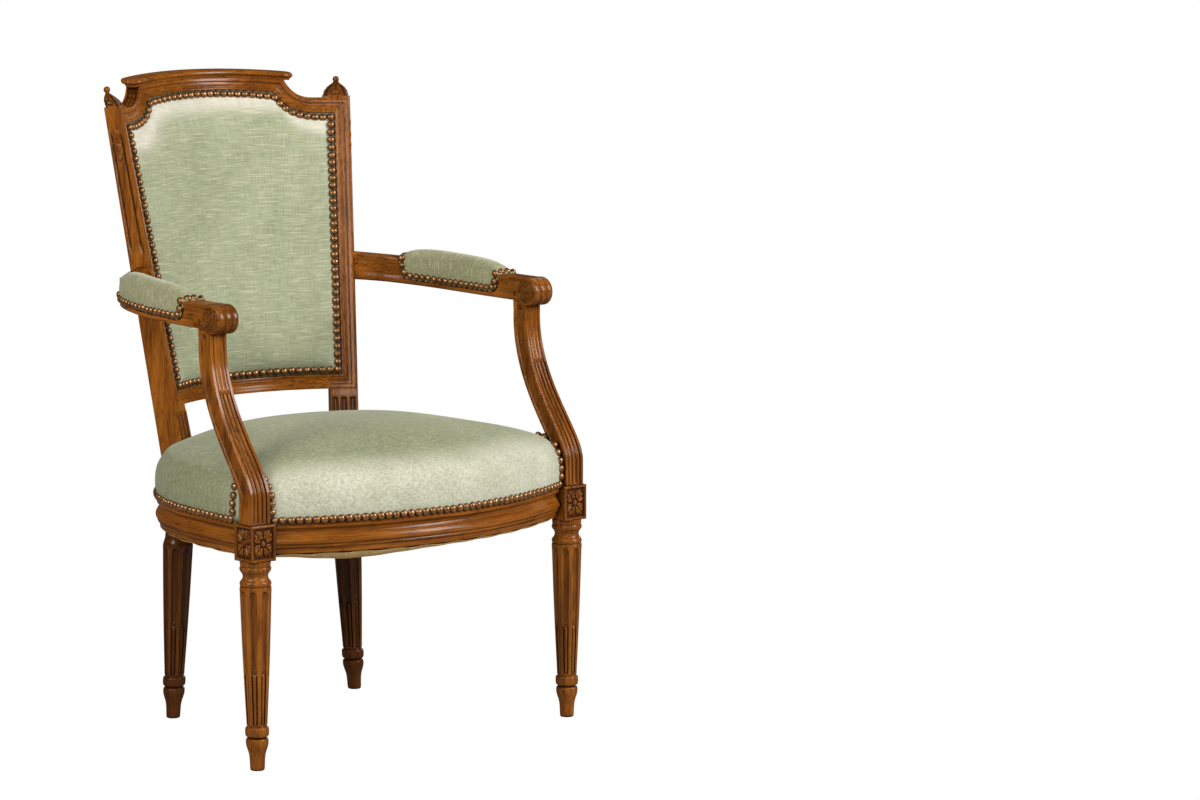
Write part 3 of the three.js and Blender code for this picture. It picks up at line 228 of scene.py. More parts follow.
def half_width(height, margin=0.0):
    """Half of the width between the stiles, measured round the curve."""
    return opening(height, margin) * back_at(height)[0]


# The frame's moulding, from the upholstery outward: share of its width, share of its relief
MOULD_SHARES = rounded([
    (0, 0.4), (0.04, 0.1), (0.14, 0.08), (0.2, 0.65), (0.26, 0.3), (0.42, 0.85), (0.6, 0.95), (0.69, 0.75),
    (0.7, 0.05), (0.74, 0), (0.93, 0), (1, 0.3)])


def moulding(share):
    """Depth of the moulding by the share of its width."""
    return MOULD_RELIEF * np.interp(share, MOULD_SHARES[:, 0], MOULD_SHARES[:, 1])


def scoop(corner, corner_z, level, level_z):
    """The hollow of the crest's shoulder, an arc from its upper corner down to where it runs level. Gives
    its points by the share of the arc, and its height by the distance from the middle."""
    reach = level - corner
    turn = 2 * math.atan((corner_z - level_z) / reach)
    radius = reach / math.sin(turn)

    def point(share):
        angle = turn * (1 - share)
        return stacked(level - radius * np.sin(angle), level_z + radius * (1 - np.cos(angle)))

    def height(distance):
        inside = np.clip(level - distance, 0, None)
        return level_z + radius - np.sqrt(np.maximum(radius ** 2 - inside ** 2, 0))
    return point, height


edge_point, edge_height = scoop(CREST_EDGE_CORNER, CREST_EDGE - CREST_FALL, CREST_EDGE_LEVEL, CREST_EDGE_LOW)
top_point, _ = scoop(CREST_TOP_CORNER, CREST_TOP - CREST_FALL, CREST_TOP_LEVEL, CREST_TOP_LOW)


def crest_edge(distance):
    """Height of the crest's lower edge."""
    distance = np.abs(distance)
    level = CREST_EDGE - CREST_FALL * (distance / CREST_EDGE_CORNER) ** 2
    return np.where(distance < CREST_EDGE_CORNER, level, edge_height(distance))


# Meshes

class Shape:
    """Points in millimetres and faces. Each point has its place in the grain or the weave, and how rubbed or
    shaded it is: above 0 where it is rubbed pale, below 0 where it is painted dark, mostly painted shade in
    hollows, grooves and at rims, in places dirt."""

    def __init__(self, points, faces, grain=None, wear_and_shade=0.0):
        self.points = np.asarray(points, float).reshape(-1, 3)
        self.faces = [tuple(int(i) for i in f) for f in faces]
        self.grain = self.points if grain is None else np.asarray(grain, float).reshape(-1, 3)
        self.wear_and_shade = np.zeros(len(self.points)) + np.ravel(wear_and_shade)

    def side(self, side):
        """The shape on the left, or mirrored on the right with other grain."""
        if side == LEFT:
            return self
        return Shape(self.points * MIRROR, [f[::-1] for f in self.faces], self.grain + [700, 0, 0], self.wear_and_shade)


def together(*shapes):
    faces, start = [], 0
    for s in shapes:
        faces += [tuple(i + start for i in f) for f in s.faces]
        start += len(s.points)
    points, grain, wear_and_shade = (np.concatenate([getattr(s, key) for s in shapes])
                           for key in ("points", "grain", "wear_and_shade"))
    return Shape(points, faces, grain, wear_and_shade)


def grid_faces(rows, columns, closed=False):
    """Faces of a grid of points, open or closed round its columns."""
    faces = []
    for i in range(0, (rows - 1) * columns, columns):
        for j in range(columns if closed else columns - 1):
            k = (j + 1) % columns
            faces.append((i + j, i + k, i + columns + k, i + columns + j))
    return faces


def loft(rows, grain=None, wear_and_shade=0.0):
    """A tube through rows of points with a cap at both ends. wear spreads over the rows."""
    rows = np.asarray(rows, float)
    stations, count = rows.shape[:2]
    caps = [range(count)[::-1], range((stations - 1) * count, stations * count)]
    faces = grid_faces(stations, count, True) + caps
    return Shape(rows, faces, grain, np.broadcast_to(wear_and_shade, (stations, count)))


def two_sided(front, rear, grain, wear_and_shade=0.0):
    """A sheet between two grids of points, closed at its rim."""
    rows, columns = front.shape[:2]
    faces = grid_faces(rows, columns)
    shape = together(Shape(front, faces, grain, wear_and_shade), Shape(rear, [f[::-1] for f in faces], grain, wear_and_shade))
    index = np.arange(rows * columns).reshape(rows, columns)
    rim = np.concatenate([index[0], index[1:, -1], index[-1, -2::-1], index[-2:0:-1, 0]]).tolist()
    shape.faces += [(a, b, b + index.size, a + index.size) for a, b in zip(rim, rim[1:] + rim[:1])]
    return shape


def boss(centre, out, up, across, tall, profile, sides=24, taper=0.0, wear_and_shade=0.0):
    """A small raised oval on a face. profile is the share of its size and the rise of each ring."""
    out, up = unit(out), unit(up)
    angle = circle(sides)
    wide = across * np.cos(angle) * (1 - taper * np.sin(angle))
    ring = wide[:, None] * np.cross(up, out) + tall * np.sin(angle)[:, None] * up
    return loft([centre + share * ring + rise * out for share, rise in profile], wear_and_shade=wear_and_shade)


def mesh_of(name, shape):
    """A mesh with its faces outward."""
    mesh = bpy.data.meshes.new(name)
    mesh.from_pydata(to_frame(shape.points).tolist(), [], shape.faces)
    bm = bmesh.new()
    bm.from_mesh(mesh)
    bmesh.ops.recalc_face_normals(bm, faces=bm.faces)
    bm.to_mesh(mesh)
    bm.free()
    return mesh


def finish_mesh(mesh, grain, wear_and_shade, sharp):
    """Gives the mesh its layers for the materials and its shading."""
    for name, kind, key, values in (("grain", "FLOAT_VECTOR", "vector", grain * MM),
                                    ("wear_and_shade", "FLOAT", "value", wear_and_shade)):
        if name in mesh.attributes:
            mesh.attributes.remove(mesh.attributes[name])
        layer = mesh.attributes.new(name, kind, "POINT")
        layer.data.foreach_set(key, values.astype(np.float32).ravel())
    mesh.polygons.foreach_set("use_smooth", [True] * len(mesh.polygons))
    mesh.set_sharp_from_angle(angle=math.radians(sharp))
    mesh.update()


def linked(name, data):
    obj = bpy.data.objects.new(name, data)
    bpy.context.scene.collection.objects.link(obj)
    return obj


def add(name, shape, material, node=None, sharp=38):
    """A piece of the chair. sharp is the angle in degrees from which an edge shows."""
    mesh = mesh_of(name, shape)
    finish_mesh(mesh, shape.grain, shape.wear_and_shade, sharp)
    mesh.materials.append(material)
    obj = linked(name, mesh)
    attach(obj, "root")
    if node:
        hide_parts(node)
    return obj


def tree_of(points):
    tree = KDTree(len(points))
    for i, p in enumerate(points):
        tree.insert(p, i)
    tree.balance()
    return tree


def cut_out(obj, shape, cutters, sharp=50):
    """Takes the cutters out of a piece, and gives the new points the layers of the nearest old ones."""
    cutter = linked("cutter", mesh_of("cutter", together(*cutters)))
    modifier = obj.modifiers.new("cut", "BOOLEAN")
    modifier.operation, modifier.object, modifier.solver = "DIFFERENCE", cutter, "EXACT"
    bpy.context.view_layer.update()
    done = bpy.data.meshes.new_from_object(obj.evaluated_get(bpy.context.evaluated_depsgraph_get()))
    obj.modifiers.clear()
    spent = (obj.data, cutter.data)
    obj.data = done
    bpy.data.objects.remove(cutter)
    for mesh in spent:
        bpy.data.meshes.remove(mesh)
    tree = tree_of(to_frame(shape.points))
    nearest = [tree.find(v.co)[1] for v in done.vertices]
    finish_mesh(done, shape.grain[nearest], shape.wear_and_shade[nearest], sharp)


# Materials

class Paint:
    """A procedural material on one Principled shader."""

    def __init__(self, name, **values):
        self.material = bpy.data.materials.new(name)
        self.material.use_nodes = True
        self.nodes = self.material.node_tree.nodes
        self.links = self.material.node_tree.links
        self.shader = self.nodes["Principled BSDF"]
        for key, value in values.items():
            self.shader.inputs[key.replace("_", " ")].default_value = value

    def node(self, kind, inputs=None, **settings):
        n = self.nodes.new(kind)
        for key, value in settings.items():
            setattr(n, key, value)
        for key, value in (inputs or {}).items():
            self.put(n.inputs[key], value)
        return n

    def put(self, socket, value):
        if isinstance(value, bpy.types.NodeSocket):
            self.links.new(value, socket)
        else:
            socket.default_value = value

    def layer(self, name, output):
        return self.node("ShaderNodeAttribute", attribute_name=name).outputs[output]

    def wear_and_shade(self):
        return self.layer("wear_and_shade", "Fac")

    def place(self, scale, turn=0.0):
        """The point's place in the grain, in metres, turned and times scale."""
        grain = self.layer("grain", "Vector")
        turned = self.node("ShaderNodeMapping", {"Vector": grain, "Rotation": (0, 0, turn)}).outputs[0]
        return self.node("ShaderNodeVectorMath", {0: turned, 1: scale}, operation="MULTIPLY").outputs[0]

    def noise(self, scale, detail=3.0, rough=0.55, distortion=0.0, turn=0.0):
        return self.node("ShaderNodeTexNoise", {
            "Vector": self.place(scale, turn), "Scale": 1.0, "Detail": detail, "Roughness": rough,
            "Distortion": distortion}).outputs["Fac"]

    def range(self, value, low, high, to_low=0.0, to_high=1.0):
        return self.node("ShaderNodeMapRange", {
            "Value": value, "From Min": low, "From Max": high, "To Min": to_low, "To Max": to_high,
        }, interpolation_type="SMOOTHSTEP").outputs["Result"]

    def maths(self, kind, a, b):
        return self.node("ShaderNodeMath", {0: a, 1: b}, operation=kind).outputs[0]

    def mixed(self, share, a, b, blend="MIX"):
        n = self.node("ShaderNodeMix", data_type="RGBA", blend_type=blend)
        self.put(n.inputs["Factor"], share)
        for socket, value in ((n.inputs[6], a), (n.inputs[7], b)):
            self.put(socket, value if isinstance(value, bpy.types.NodeSocket) else (*value, 1))
        return n.outputs[2]

    def over(self, base, colour, value, low, high, share):
        """base with a colour laid over it where value nears high, by up to share."""
        return self.mixed(self.range(value, low, high, 0, share), base, colour)

    def occlusion_shade(self, distance):
        """1 in a groove or a corner, 0 on open ground, from the ambient occlusion: a mask for painted shade."""
        ao = self.node("ShaderNodeAmbientOcclusion", {"Distance": distance}, samples=6)
        return self.maths("SUBTRACT", 1.0, ao.outputs["AO"])

    def finished(self, colour, roughness, height=None, strength=0.0, distance=0.0):
        """The material with its colour and roughness, and with relief where a height is given."""
        self.put(self.shader.inputs["Base Color"], colour)
        self.put(self.shader.inputs["Roughness"], roughness)
        if height:
            relief = {"Height": height, "Strength": strength, "Distance": distance}
            self.put(self.shader.inputs["Normal"], self.node("ShaderNodeBump", relief).outputs[0])
        return self.material


def wood_material(name, dark, mid, light):
    """Waxed wood. Its grain runs along the third measure of the grain layer."""
    p = Paint(name, IOR=1.45, Specular_IOR_Level=0.0, Coat_Weight=0.27, Coat_Roughness=0.21, Coat_IOR=1.5)
    black, old_wax_and_shade = (0.012, 0.004, 0.0015), (0.03, 0.009, 0.002)
    rubbed, shaded = (0.42, 0.19, 0.05), (0.026, 0.0075, 0.0015)
    broad = p.noise((26, 26, 3.2), 4, 0.6, 0.6)
    line = p.noise((300, 300, 9), 4, 0.65, 1.2)
    pore = p.noise((1500, 1500, 60), 2, 0.5)
    stain = p.noise((60, 60, 40), 4, 0.65, 0.4)
    base = p.mixed(p.range(broad, 0.32, 0.68), mid, light)
    base = p.over(base, dark, line, 0.46, 0.66, 0.7)
    base = p.over(base, dark, pore, 0.55, 0.7, 0.6)
    base = p.over(base, dark, stain, 0.52, 0.75, 0.45)
    cells = p.node("ShaderNodeTexVoronoi", {"Vector": p.place((190, 190, 190)), "Scale": 1.0})
    worm_eaten = p.range(p.noise((45, 45, 25)), 0.6, 0.64)
    worm_hole = p.maths("MULTIPLY", p.range(cells.outputs["Distance"], 0.17, 0.1), worm_eaten)
    base = p.mixed(worm_hole, base, black)
    # Painted shade from the ambient occlusion: dark in grooves and joints, partly old wax, and near black in
    # the narrowest ones.
    base = p.over(base, old_wax_and_shade, p.occlusion_shade(0.012), 0.25, 0.8, 0.75)
    base = p.over(base, black, p.occlusion_shade(0.003), 0.1, 0.42, 0.95)
    # Pale where the layer is above 0: rubbed arrises, which also stand as painted highlight. Dark where it is
    # below 0: painted shade in hollows and under the seat, in places dirt from hands.
    base = p.over(base, rubbed, p.wear_and_shade(), 0, 1, 0.6)
    base = p.over(base, shaded, p.wear_and_shade(), 0, -1, 0.9)
    roughness = p.range(p.maths("ADD", broad, line), 0.7, 1.3, 0.24, 0.42)
    return p.finished(base, roughness, p.maths("ADD", p.maths("MULTIPLY", pore, 0.4), line), 0.12, 0.0003)


def velvet_material(name, weft, warp, tone_and_shade, worn, sheen, turn=0.0, streak=0.5):
    """Slub velvet. weft and warp are how fast the pattern runs along and across its streaks, per metre."""
    p = Paint(name, Sheen_Weight=sheen, Sheen_Roughness=0.4, Sheen_Tint=(0.9, 0.9, 0.76, 1), IOR=1.35,
              Specular_IOR_Level=0.1)
    soft = p.noise((11, 11, 11), 3, 0.55, 0.3, turn)
    cloud = p.noise((weft * 0.8, warp * 0.1, 9), 4, 0.7, 0.0, turn)
    fine = p.noise((weft * 2, warp * 1.1, 9), 3, 0.65, 0.0, turn)
    cross = p.noise((warp * 0.9, weft * 1.6, 9), 3, 0.65, 0.0, turn)
    slub = p.noise((weft, warp * 0.8, 9), 3, 0.62, 0.0, turn)
    grit = p.noise((1500, 1500, 9), 2, 0.6)
    base = p.mixed(p.range(soft, 0.3, 0.7), (0.25, 0.285, 0.17), (0.32, 0.36, 0.225))
    base = p.over(base, (0.205, 0.245, 0.145), cloud, 0.42, 0.66, 0.4)
    base = p.over(base, (0.44, 0.465, 0.31), fine, 0.38, 0.66, 0.6)
    base = p.over(base, (0.155, 0.185, 0.11), cross, 0.45, 0.7, 0.55)
    base = p.over(base, (0.16, 0.19, 0.115), grit, 0.45, 0.7, 0.35)
    base = p.over(base, (0.64, 0.62, 0.42), slub, 0.53, 0.65, streak)
    # The tone darkens copies of the same velvet: painted shade on the seat and the arms.
    base = p.mixed(1.0, base, tone_and_shade, "MULTIPLY")
    patch = p.range(p.noise((15, 15, 9), 5, 0.6), 0.32, 0.66, 0.74, 1.0)
    thread = p.range(p.maths("ADD", fine, cross), 0.82, 1.18, 0.56, 1.0)
    rubbed = p.maths("MULTIPLY", p.range(p.wear_and_shade(), 0, 1), p.maths("MULTIPLY", patch, thread))
    # Rubbed pale cloth above 0; below 0 the cloth is painted near black: painted shade at its nailed rims,
    # between the nails.
    base = p.over(p.mixed(rubbed, base, worn), (0.05, 0.048, 0.025), p.wear_and_shade(), 0, -1, 0.85)
    return p.finished(base, 0.88, p.maths("ADD", p.maths("ADD", fine, slub), cross), 0.5, 0.0009)


def cloth_material(name, light, dark, pitch):
    """Plain woven cloth. pitch is how fast its threads run, per metre."""
    p = Paint(name, Specular_IOR_Level=0.05)
    across, along = (p.noise(scale, 2, 0.5) for scale in ((pitch * 0.12, pitch, 4), (pitch, pitch * 0.12, 4)))
    weave = p.maths("MULTIPLY", across, along)
    base = p.mixed(p.range(weave, 0.16, 0.36), dark, light)
    base = p.over(base, dark, p.noise((18, 18, 18), 4, 0.6), 0.45, 0.75, 0.4)
    return p.finished(base, 0.92, weave, 0.5, 0.0006)


def metal_material(name):
    """Tarnished bronze, with painted shade in the corners where the heads meet the cloth."""
    p = Paint(name, Metallic=0.8)
    tarnish = p.noise((160, 160, 160), 4, 0.65)
    spot = p.noise((900, 900, 900), 2, 0.5)
    base = p.mixed(p.range(tarnish, 0.3, 0.7), (0.12, 0.052, 0.018), (0.3, 0.15, 0.056))
    base = p.over(base, (0.05, 0.022, 0.01), spot, 0.5, 0.7, 0.5)
    # Painted shade from the ambient occlusion where the heads meet the cloth and each other.
    base = p.over(base, (0.03, 0.015, 0.008), p.occlusion_shade(0.004), 0.5, 1.0, 0.65)
    return p.finished(base, p.range(spot, 0.3, 0.7, 0.27, 0.4))


WOOD = wood_material("waxed_wood", (0.032, 0.0085, 0.0012), (0.14, 0.0405, 0.0038), (0.252, 0.081, 0.0088))
# The seat's and the arms' cloth is the back's velvet toned darker, the seat most: painted shade.
VELVET_BACK = velvet_material("velvet_back", 24, 900, (0.835, 0.81, 0.815), (0.6, 0.55, 0.475), 0.35)
VELVET_SEAT = velvet_material("velvet_seat", 72, 390, (0.565, 0.55, 0.49), (0.435, 0.425, 0.34), 0.22,
                              math.radians(8), 0.45)
VELVET_ARM = velvet_material("velvet_arm", 50, 520, (0.71, 0.64, 0.58), (0.5, 0.47, 0.38), 0.3)
COTTON = cloth_material("undyed_cotton", (0.5, 0.34, 0.15), (0.34, 0.22, 0.09), 900)
JUTE = cloth_material("jute_webbing", (0.42, 0.32, 0.18), (0.2, 0.14, 0.07), 500)
BRONZE = metal_material("bronzed_nails")


# Turned legs: heights and radii of their profiles, from the floor up

ANKLE_TOP, SHAFT_TOP = 63, 254
REED_TOP, FLUTE_LOW, FLUTE_TOP = 135, 64.6, 249.5
FLUTES, FLUTE_DEPTH, FLUTE_HALF = 8, 3.2, 0.31
LOW_END, HIGH_END = 1.5, 8  # heights in which a flute rounds off
# Heights of the leg's grooves that are painted dark: painted shade.
SHADED_GROOVES = (45.8, 61.6, 255.2, 270.8, 282.6)
FOOT_ROWS = [
    (0, 8.6), (0.8, 9.6), (3, 10.1), (14, 10.5), (20, 11), (25, 12), (29, 13.3), (33, 14.6), (37.5, 15.6),
    (42.5, 15.5), (44.4, 14.6), (45.3, 12.4), (46.2, 12.2), (47.4, 15.2), (50, 16.3), (56, 16.4), (59.4, 16),
    (60.8, 14), (62, 13.4), (63.4, 14.2)]
NECK_ROWS = [
    (252.4, 21.7), (254.4, 21.4), (255.2, 20.2), (256.4, 21.3), (259.2, 21.8), (262, 20.8), (264, 18.7),
    (267.6, 17.3), (271.4, 17.6), (274.4, 19.4), (276.4, 21.2), (279, 21.8), (281.4, 21.4), (282.6, 20.3),
    (283.6, 20.9), (290, 21.2)]
REAR_HEAD_ROWS = [(252, 21.6), (256, 21), (261, 19.2), (267, 18.4), (300, 18.4)]


def shaft_radius(z):
    share = (z - ANKLE_TOP) / (SHAFT_TOP - ANKLE_TOP)
    return mix(14.2, 21.8, share) + 0.6 * np.sin(math.pi * share)


def flute_cut(phase, z):
    """Depth of the fluting at a place between two arrises, -0.5 to 0.5. Up to REED_TOP a reed fills it."""
    near = np.clip(np.minimum((FLUTE_TOP - z) / HIGH_END, (z - FLUTE_LOW) / LOW_END), 0, 1)
    half = FLUTE_HALF * np.sqrt(1 - (1 - near) ** 2) + 1e-6
    across = np.clip(np.abs(phase) / half, 0, 1)
    hollow = np.sqrt(np.clip(1 - across ** 2.6, 0, 1))
    reed = np.where(across >= 1, 0, 0.12 + 0.8 * across ** 2.4)
    filled = 1 - smooth(z, REED_TOP - 3, REED_TOP + 1)
    bead = 0.55 * bump(z, REED_TOP + 4, 2.6) * bump(phase, 0, 0.14)
    return FLUTE_DEPTH * (mix(hollow, reed, filled) - bead) * np.where(near > 0, 1, 0)


def leg_shape(foot, top, rows_above, worn=0.0):
    """A leg from its foot to its top, with a profile above the fluted shaft. worn darkens or lightens it all
    over.
    """
    shaft_z = series(
        ANKLE_TOP + 1, FLUTE_LOW + LOW_END * np.array([0.02, 0.1, 0.3, 0.6, 1]), (72, REED_TOP - 5, 10),
        (REED_TOP - 3, REED_TOP + 9, 9), (REED_TOP + 14, FLUTE_TOP - 12, 14),
        FLUTE_TOP - HIGH_END * np.array([1, 0.7, 0.4, 0.2, 0.08, 0.02]), FLUTE_TOP, FLUTE_TOP + 1.5)
    below, above = rounded(FOOT_ROWS, times=1), rounded(rows_above)
    z = series(below[:, 0], shaft_z, above[:, 0])[:, None]
    radius = series(below[:, 1], shaft_radius(shaft_z), above[:, 1])[:, None]
    side = FLUTE_HALF * np.array([0.12, 0.3, 0.5, 0.68, 0.82, 0.92, 0.98, 1.01, 1.06, 1.25])
    phases = series(-0.465, -side[::-1], 0, side, 0.465)
    phase = np.tile(phases, FLUTES)
    angle = (np.repeat(np.arange(FLUTES), len(phases)) + phase) * 2 * math.pi / FLUTES
    inside = (z > FLUTE_LOW) & (z < FLUTE_TOP)
    cut = np.where(inside, flute_cut(phase, z), 0)
    arris = 0.3 * bump(np.abs(phase), FLUTE_HALF + 0.07, 0.08) * inside
    # Flute hollows painted darker: painted shade. Arrises paler: rubbed, and also painted highlight.
    wear_and_shade = worn + np.where(cut > 0.3, -0.32 * smooth(cut, 0.3, FLUTE_DEPTH), arris)
    # The grooves of the foot and the neck painted dark: painted shade.
    wear_and_shade = wear_and_shade - 0.55 * sum(bump(z, groove, 0.9) for groove in SHADED_GROOVES)
    share, reach = z / top[2], radius - cut
    x = mix(foot[0], top[0], share) + reach * np.cos(angle)
    y = mix(foot[1], top[1], share) + reach * np.sin(angle)
    return loft(stacked(x, y, z), wear_and_shade=wear_and_shade)


# The block on the front leg, with a flower carved in its front and its outer side

def rosette(u, v):
    """Height of the carved leaves on a panel, u and v from its middle."""
    reach, angle = np.hypot(u, v * 0.84), np.arctan2(v * 0.84, u)
    fold = zigzag(angle / (math.pi / 2))
    limit = 13.2 + 6.0 * (1 - fold) ** 0.8 + 0.9 * np.cos(20 * angle)
    t = np.clip(reach / limit, 0, 1.2)
    leaf = (1.7 + 1.7 * t) * np.clip((1 - t) * 5, 0, 1) ** 0.6
    vein = 1.7 * bump(fold, 0, 0.13) * smooth(reach, 4, 7)
    split = 3.0 * bump(fold, 1.0, 0.15) * smooth(reach, 4.5, 8)
    side = 1.1 * bump(fold, 0.5, 0.09) * smooth(reach, 7.5, 10)
    ring = 2.2 * bump(reach, 4.9, 1.0)
    bead = 3.3 * np.sqrt(np.clip(1 - (reach / 3.7) ** 2, 0, 1))
    return np.maximum(np.maximum(leaf - vein - split - side, 0) - ring, 0) * (reach > 3.3) + bead


def face_places(length, count):
    """Places across a face of the block from its middle, close together at its edges."""
    edge = np.array([0, 0.25, 0.7, 1.4])
    return series(edge, (2.2, length - 2.2, count), length - edge[::-1]) - length / 2


def block_face(carved):
    """One face of the block, from its middle: across, up, and how deep it is cut."""
    u, v = np.meshgrid(face_places(BLOCK_SIDE, 44), face_places(BLOCK_HEIGHT, 54))
    rim = np.minimum(BLOCK_SIDE / 2 - np.abs(u), BLOCK_HEIGHT / 2 - np.abs(v))
    deep = np.clip(1 - rim / 1.2, 0, 1) ** 2
    if carved:
        border = rim - 4
        deep = deep + 3.4 * smooth(border, -0.7, 0.5) - rosette(u, v) * smooth(border, -0.2, 1.2)
    return u, v, deep


def block_shape():
    half, middle = BLOCK_SIDE / 2, RAIL_TOP - BLOCK_HEIGHT / 2
    parts = []
    for quarter in range(4):
        u, v, deep = block_face(carved=quarter < 2)
        angle, out = (quarter - 1) * math.pi / 2, half - deep
        points = stacked(LEG_X + out * math.cos(angle) - u * math.sin(angle),
                         out * math.sin(angle) + u * math.cos(angle), middle + v)
        # The block a little darker all over, and its carved hollows painted in shade.
        parts.append(Shape(points, grid_faces(*u.shape), wear_and_shade=-0.2 - 0.7 * smooth(deep, 1.2, 3.2)))
    for z in (RAIL_TOP, RAIL_TOP - BLOCK_HEIGHT):
        corners = CORNERS * (half - 0.4) + [LEG_X, 0]
        parts.append(Shape(stacked(*corners.T, z), [(0, 1, 2, 3)]))
    return together(*parts)


# Seat rails

# The rail's front face, from its top down: how far out it stands, and the height
RAIL_FACE = rounded([
    (-3, 43), (-1.8, 42.2), (-1.2, 35.7), (-3, 34.4), (-5.6, 32.2), (-6.4, 30), (-6.3, 28), (-4.6, 25.2),
    (-1.6, 21.6), (-0.3, 18.6), (0, 16.4), (-0.6, 13.6), (-3.6, 11.6), (-2.1, 9.9), (-3.6, 7.7), (-5.6, 6.8),
    (-6, 6), (-6, 0)])
RAIL_OUT, RAIL_UP = np.concatenate([[(-RAIL_THICKNESS, 0), (-RAIL_THICKNESS, RAIL_HEIGHT)], RAIL_FACE]).T
ACROSS_CHAIR = [1, 2, 0]  # order of x, y and z in the grain layer of wood that runs across the chair

POST_RADIUS, _, POST_THICKNESS, POST_TURN = (float(v) for v in back_at(POST_BEND))
POST_OUT = np.array([math.cos(POST_TURN), -math.sin(POST_TURN), 0])
POST_SIDE = on_stile(0, POST_THICKNESS / 2 + 15, 0)
POST_FOOT = on_stile(STILE_WIDTH / 2, POST_THICKNESS / 2, 0)
POST_MIDDLE_TURN = POST_TURN - STILE_WIDTH / 2 / POST_RADIUS
REAR_RAIL_FRONT = 2
SIDE_X = LEG_X + BLOCK_SIDE / 2 - 6
SIDE_ENDS = [np.array([SIDE_X, 0, 0]), np.array([SIDE_X, 150, 0]), POST_SIDE + 144 * POST_OUT, POST_SIDE]


def front_rail_at(x, outward, z):
    """A place on the bowed front rail, outward from its face."""
    angle, reach = np.arcsin(x / BOW_RADIUS), BOW_RADIUS + outward
    return stacked(reach * np.sin(angle), BOW_RADIUS - BOW_REACH - reach * np.cos(angle), z)


def side_rail_at(t, outward, z):
    """A place on the left side rail, t from the block to the post."""
    return beside(bezier(*SIDE_ENDS, t), -outward, z)


def front_rail_shape():
    rows = front_rail_at(np.linspace(-254.4, 254.4, 70)[:, None], RAIL_OUT, RAIL_BOTTOM + RAIL_UP)
    return loft(rows, stacked(RAIL_OUT, rows[..., 2], rows[..., 0]))


def side_rail_shape():
    t = np.linspace(0.06, 0.965, 60)[:, None]
    rows = side_rail_at(t, RAIL_OUT, RAIL_BOTTOM + RAIL_UP)
    return loft(rows, stacked(RAIL_OUT, rows[..., 2], t * 420))


def rear_rail_shape():
    angle = np.linspace(-POST_MIDDLE_TURN, POST_MIDDLE_TURN, 40)[:, None]
    behind = REAR_RAIL_FRONT + RAIL_THICKNESS * np.array([0, 1, 1, 0])
    rows = on_back(angle, behind, RAIL_BOTTOM + RAIL_HEIGHT * np.array([0, 0, 1, 1]))
    return loft(rows, rows[..., ACROSS_CHAIR])


# Rear posts

# The groove down a stile's outer side, from its rear edge forward: depth, and share of the thickness
GROOVE = [(0, 0.87), (0.3, 0.855), (2.4, 0.82), (2.6, 0.78), (1.2, 0.74), (0.9, 0.66), (0.6, 0.5), (0.9, 0.36),
          (1.2, 0.28), (2.6, 0.24), (2.4, 0.2), (0.3, 0.165), (0, 0.15)]
PLAIN_POINTS = len(GROOVE) + 2  # points of a post's section behind its front line
STUMP_FLUTES, STUMP_TOP = 3, BACK_LOW - 11
REAR_FOOT_X = 164
DROPS = ((842, 1.0), (824, 0.85), (809, 0.6))  # height and size of the leaves above the groove
DROP_PROFILE = [(1.02, -1.56), (1, 0), (0.93, 0.91), (0.75, 1.768), (0.5, 2.288), (0.25, 2.522), (0.02, 2.6)]


def stump_line(z):
    """Front line of the fluted stump under the stile."""
    u = np.linspace(0, STILE_WIDTH, 61)
    pitch = STILE_WIDTH / STUMP_FLUTES
    offset = np.abs(np.mod(u, pitch) - pitch / 2)
    fluted = smooth(z, 352, 357) * (1 - smooth(z, STUMP_TOP - 3, STUMP_TOP - 0.5))
    return u, 2.8 * np.sqrt(np.clip(1 - (offset / 4.6) ** 2, 0, 1)) * fluted


def stile_line(z):
    """Front line of the stile: the moulding, which turns to follow the rails, and the rebate."""
    u = series(0, 0.15, 0.5, (1, 21.3, 52), MOULD_WIDTH, 21.65, (22.5, STILE_WIDTH, 16))
    low = (BACK_LOW + LOWER_VISIBLE - z) / LOWER_VISIBLE
    high = (z - CREST_EDGE_LOW) / (CREST_TOP_LOW - CREST_EDGE_LOW)
    share = np.maximum((MOULD_WIDTH - u) / MOULD_WIDTH, max(low, high))
    return u, np.where(share < 0, REBATE, moulding(np.clip(share, 0, 1)))


def post_rows(heights, line):
    """Sections of the post. The groove is cut from above the arm up to the leaves."""
    rows = []
    for z in heights:
        thickness = thickness_at(z)
        cut = smooth(z, 676, 680) * (1 - smooth(z, 838, 846))
        groove = [(deep * cut, share * thickness) for deep, share in GROOVE]
        section = np.array([*zip(*line(z)), (STILE_WIDTH, thickness), (0, thickness), *groove])
        rows.append(on_stile(*section.T, z))
    return np.array(rows)


# Rise of the finial and its width, both as shares
FINIAL_PROFILE = np.array([
    (-0.5, 1), (-0.42, 1.06), (-0.3, 1.06), (-0.24, 0.97), (-0.16, 0.97), (-0.1, 1.03), (0, 1.05), (0.06, 1),
    (0.2, 0.96), (0.42, 0.86), (0.62, 0.68), (0.78, 0.46), (0.9, 0.27), (0.97, 0.21), (1, 0.2)])
FINIAL_HEIGHT, FINIAL_LEAN, BALL_RADIUS = 21, 12, 4.8


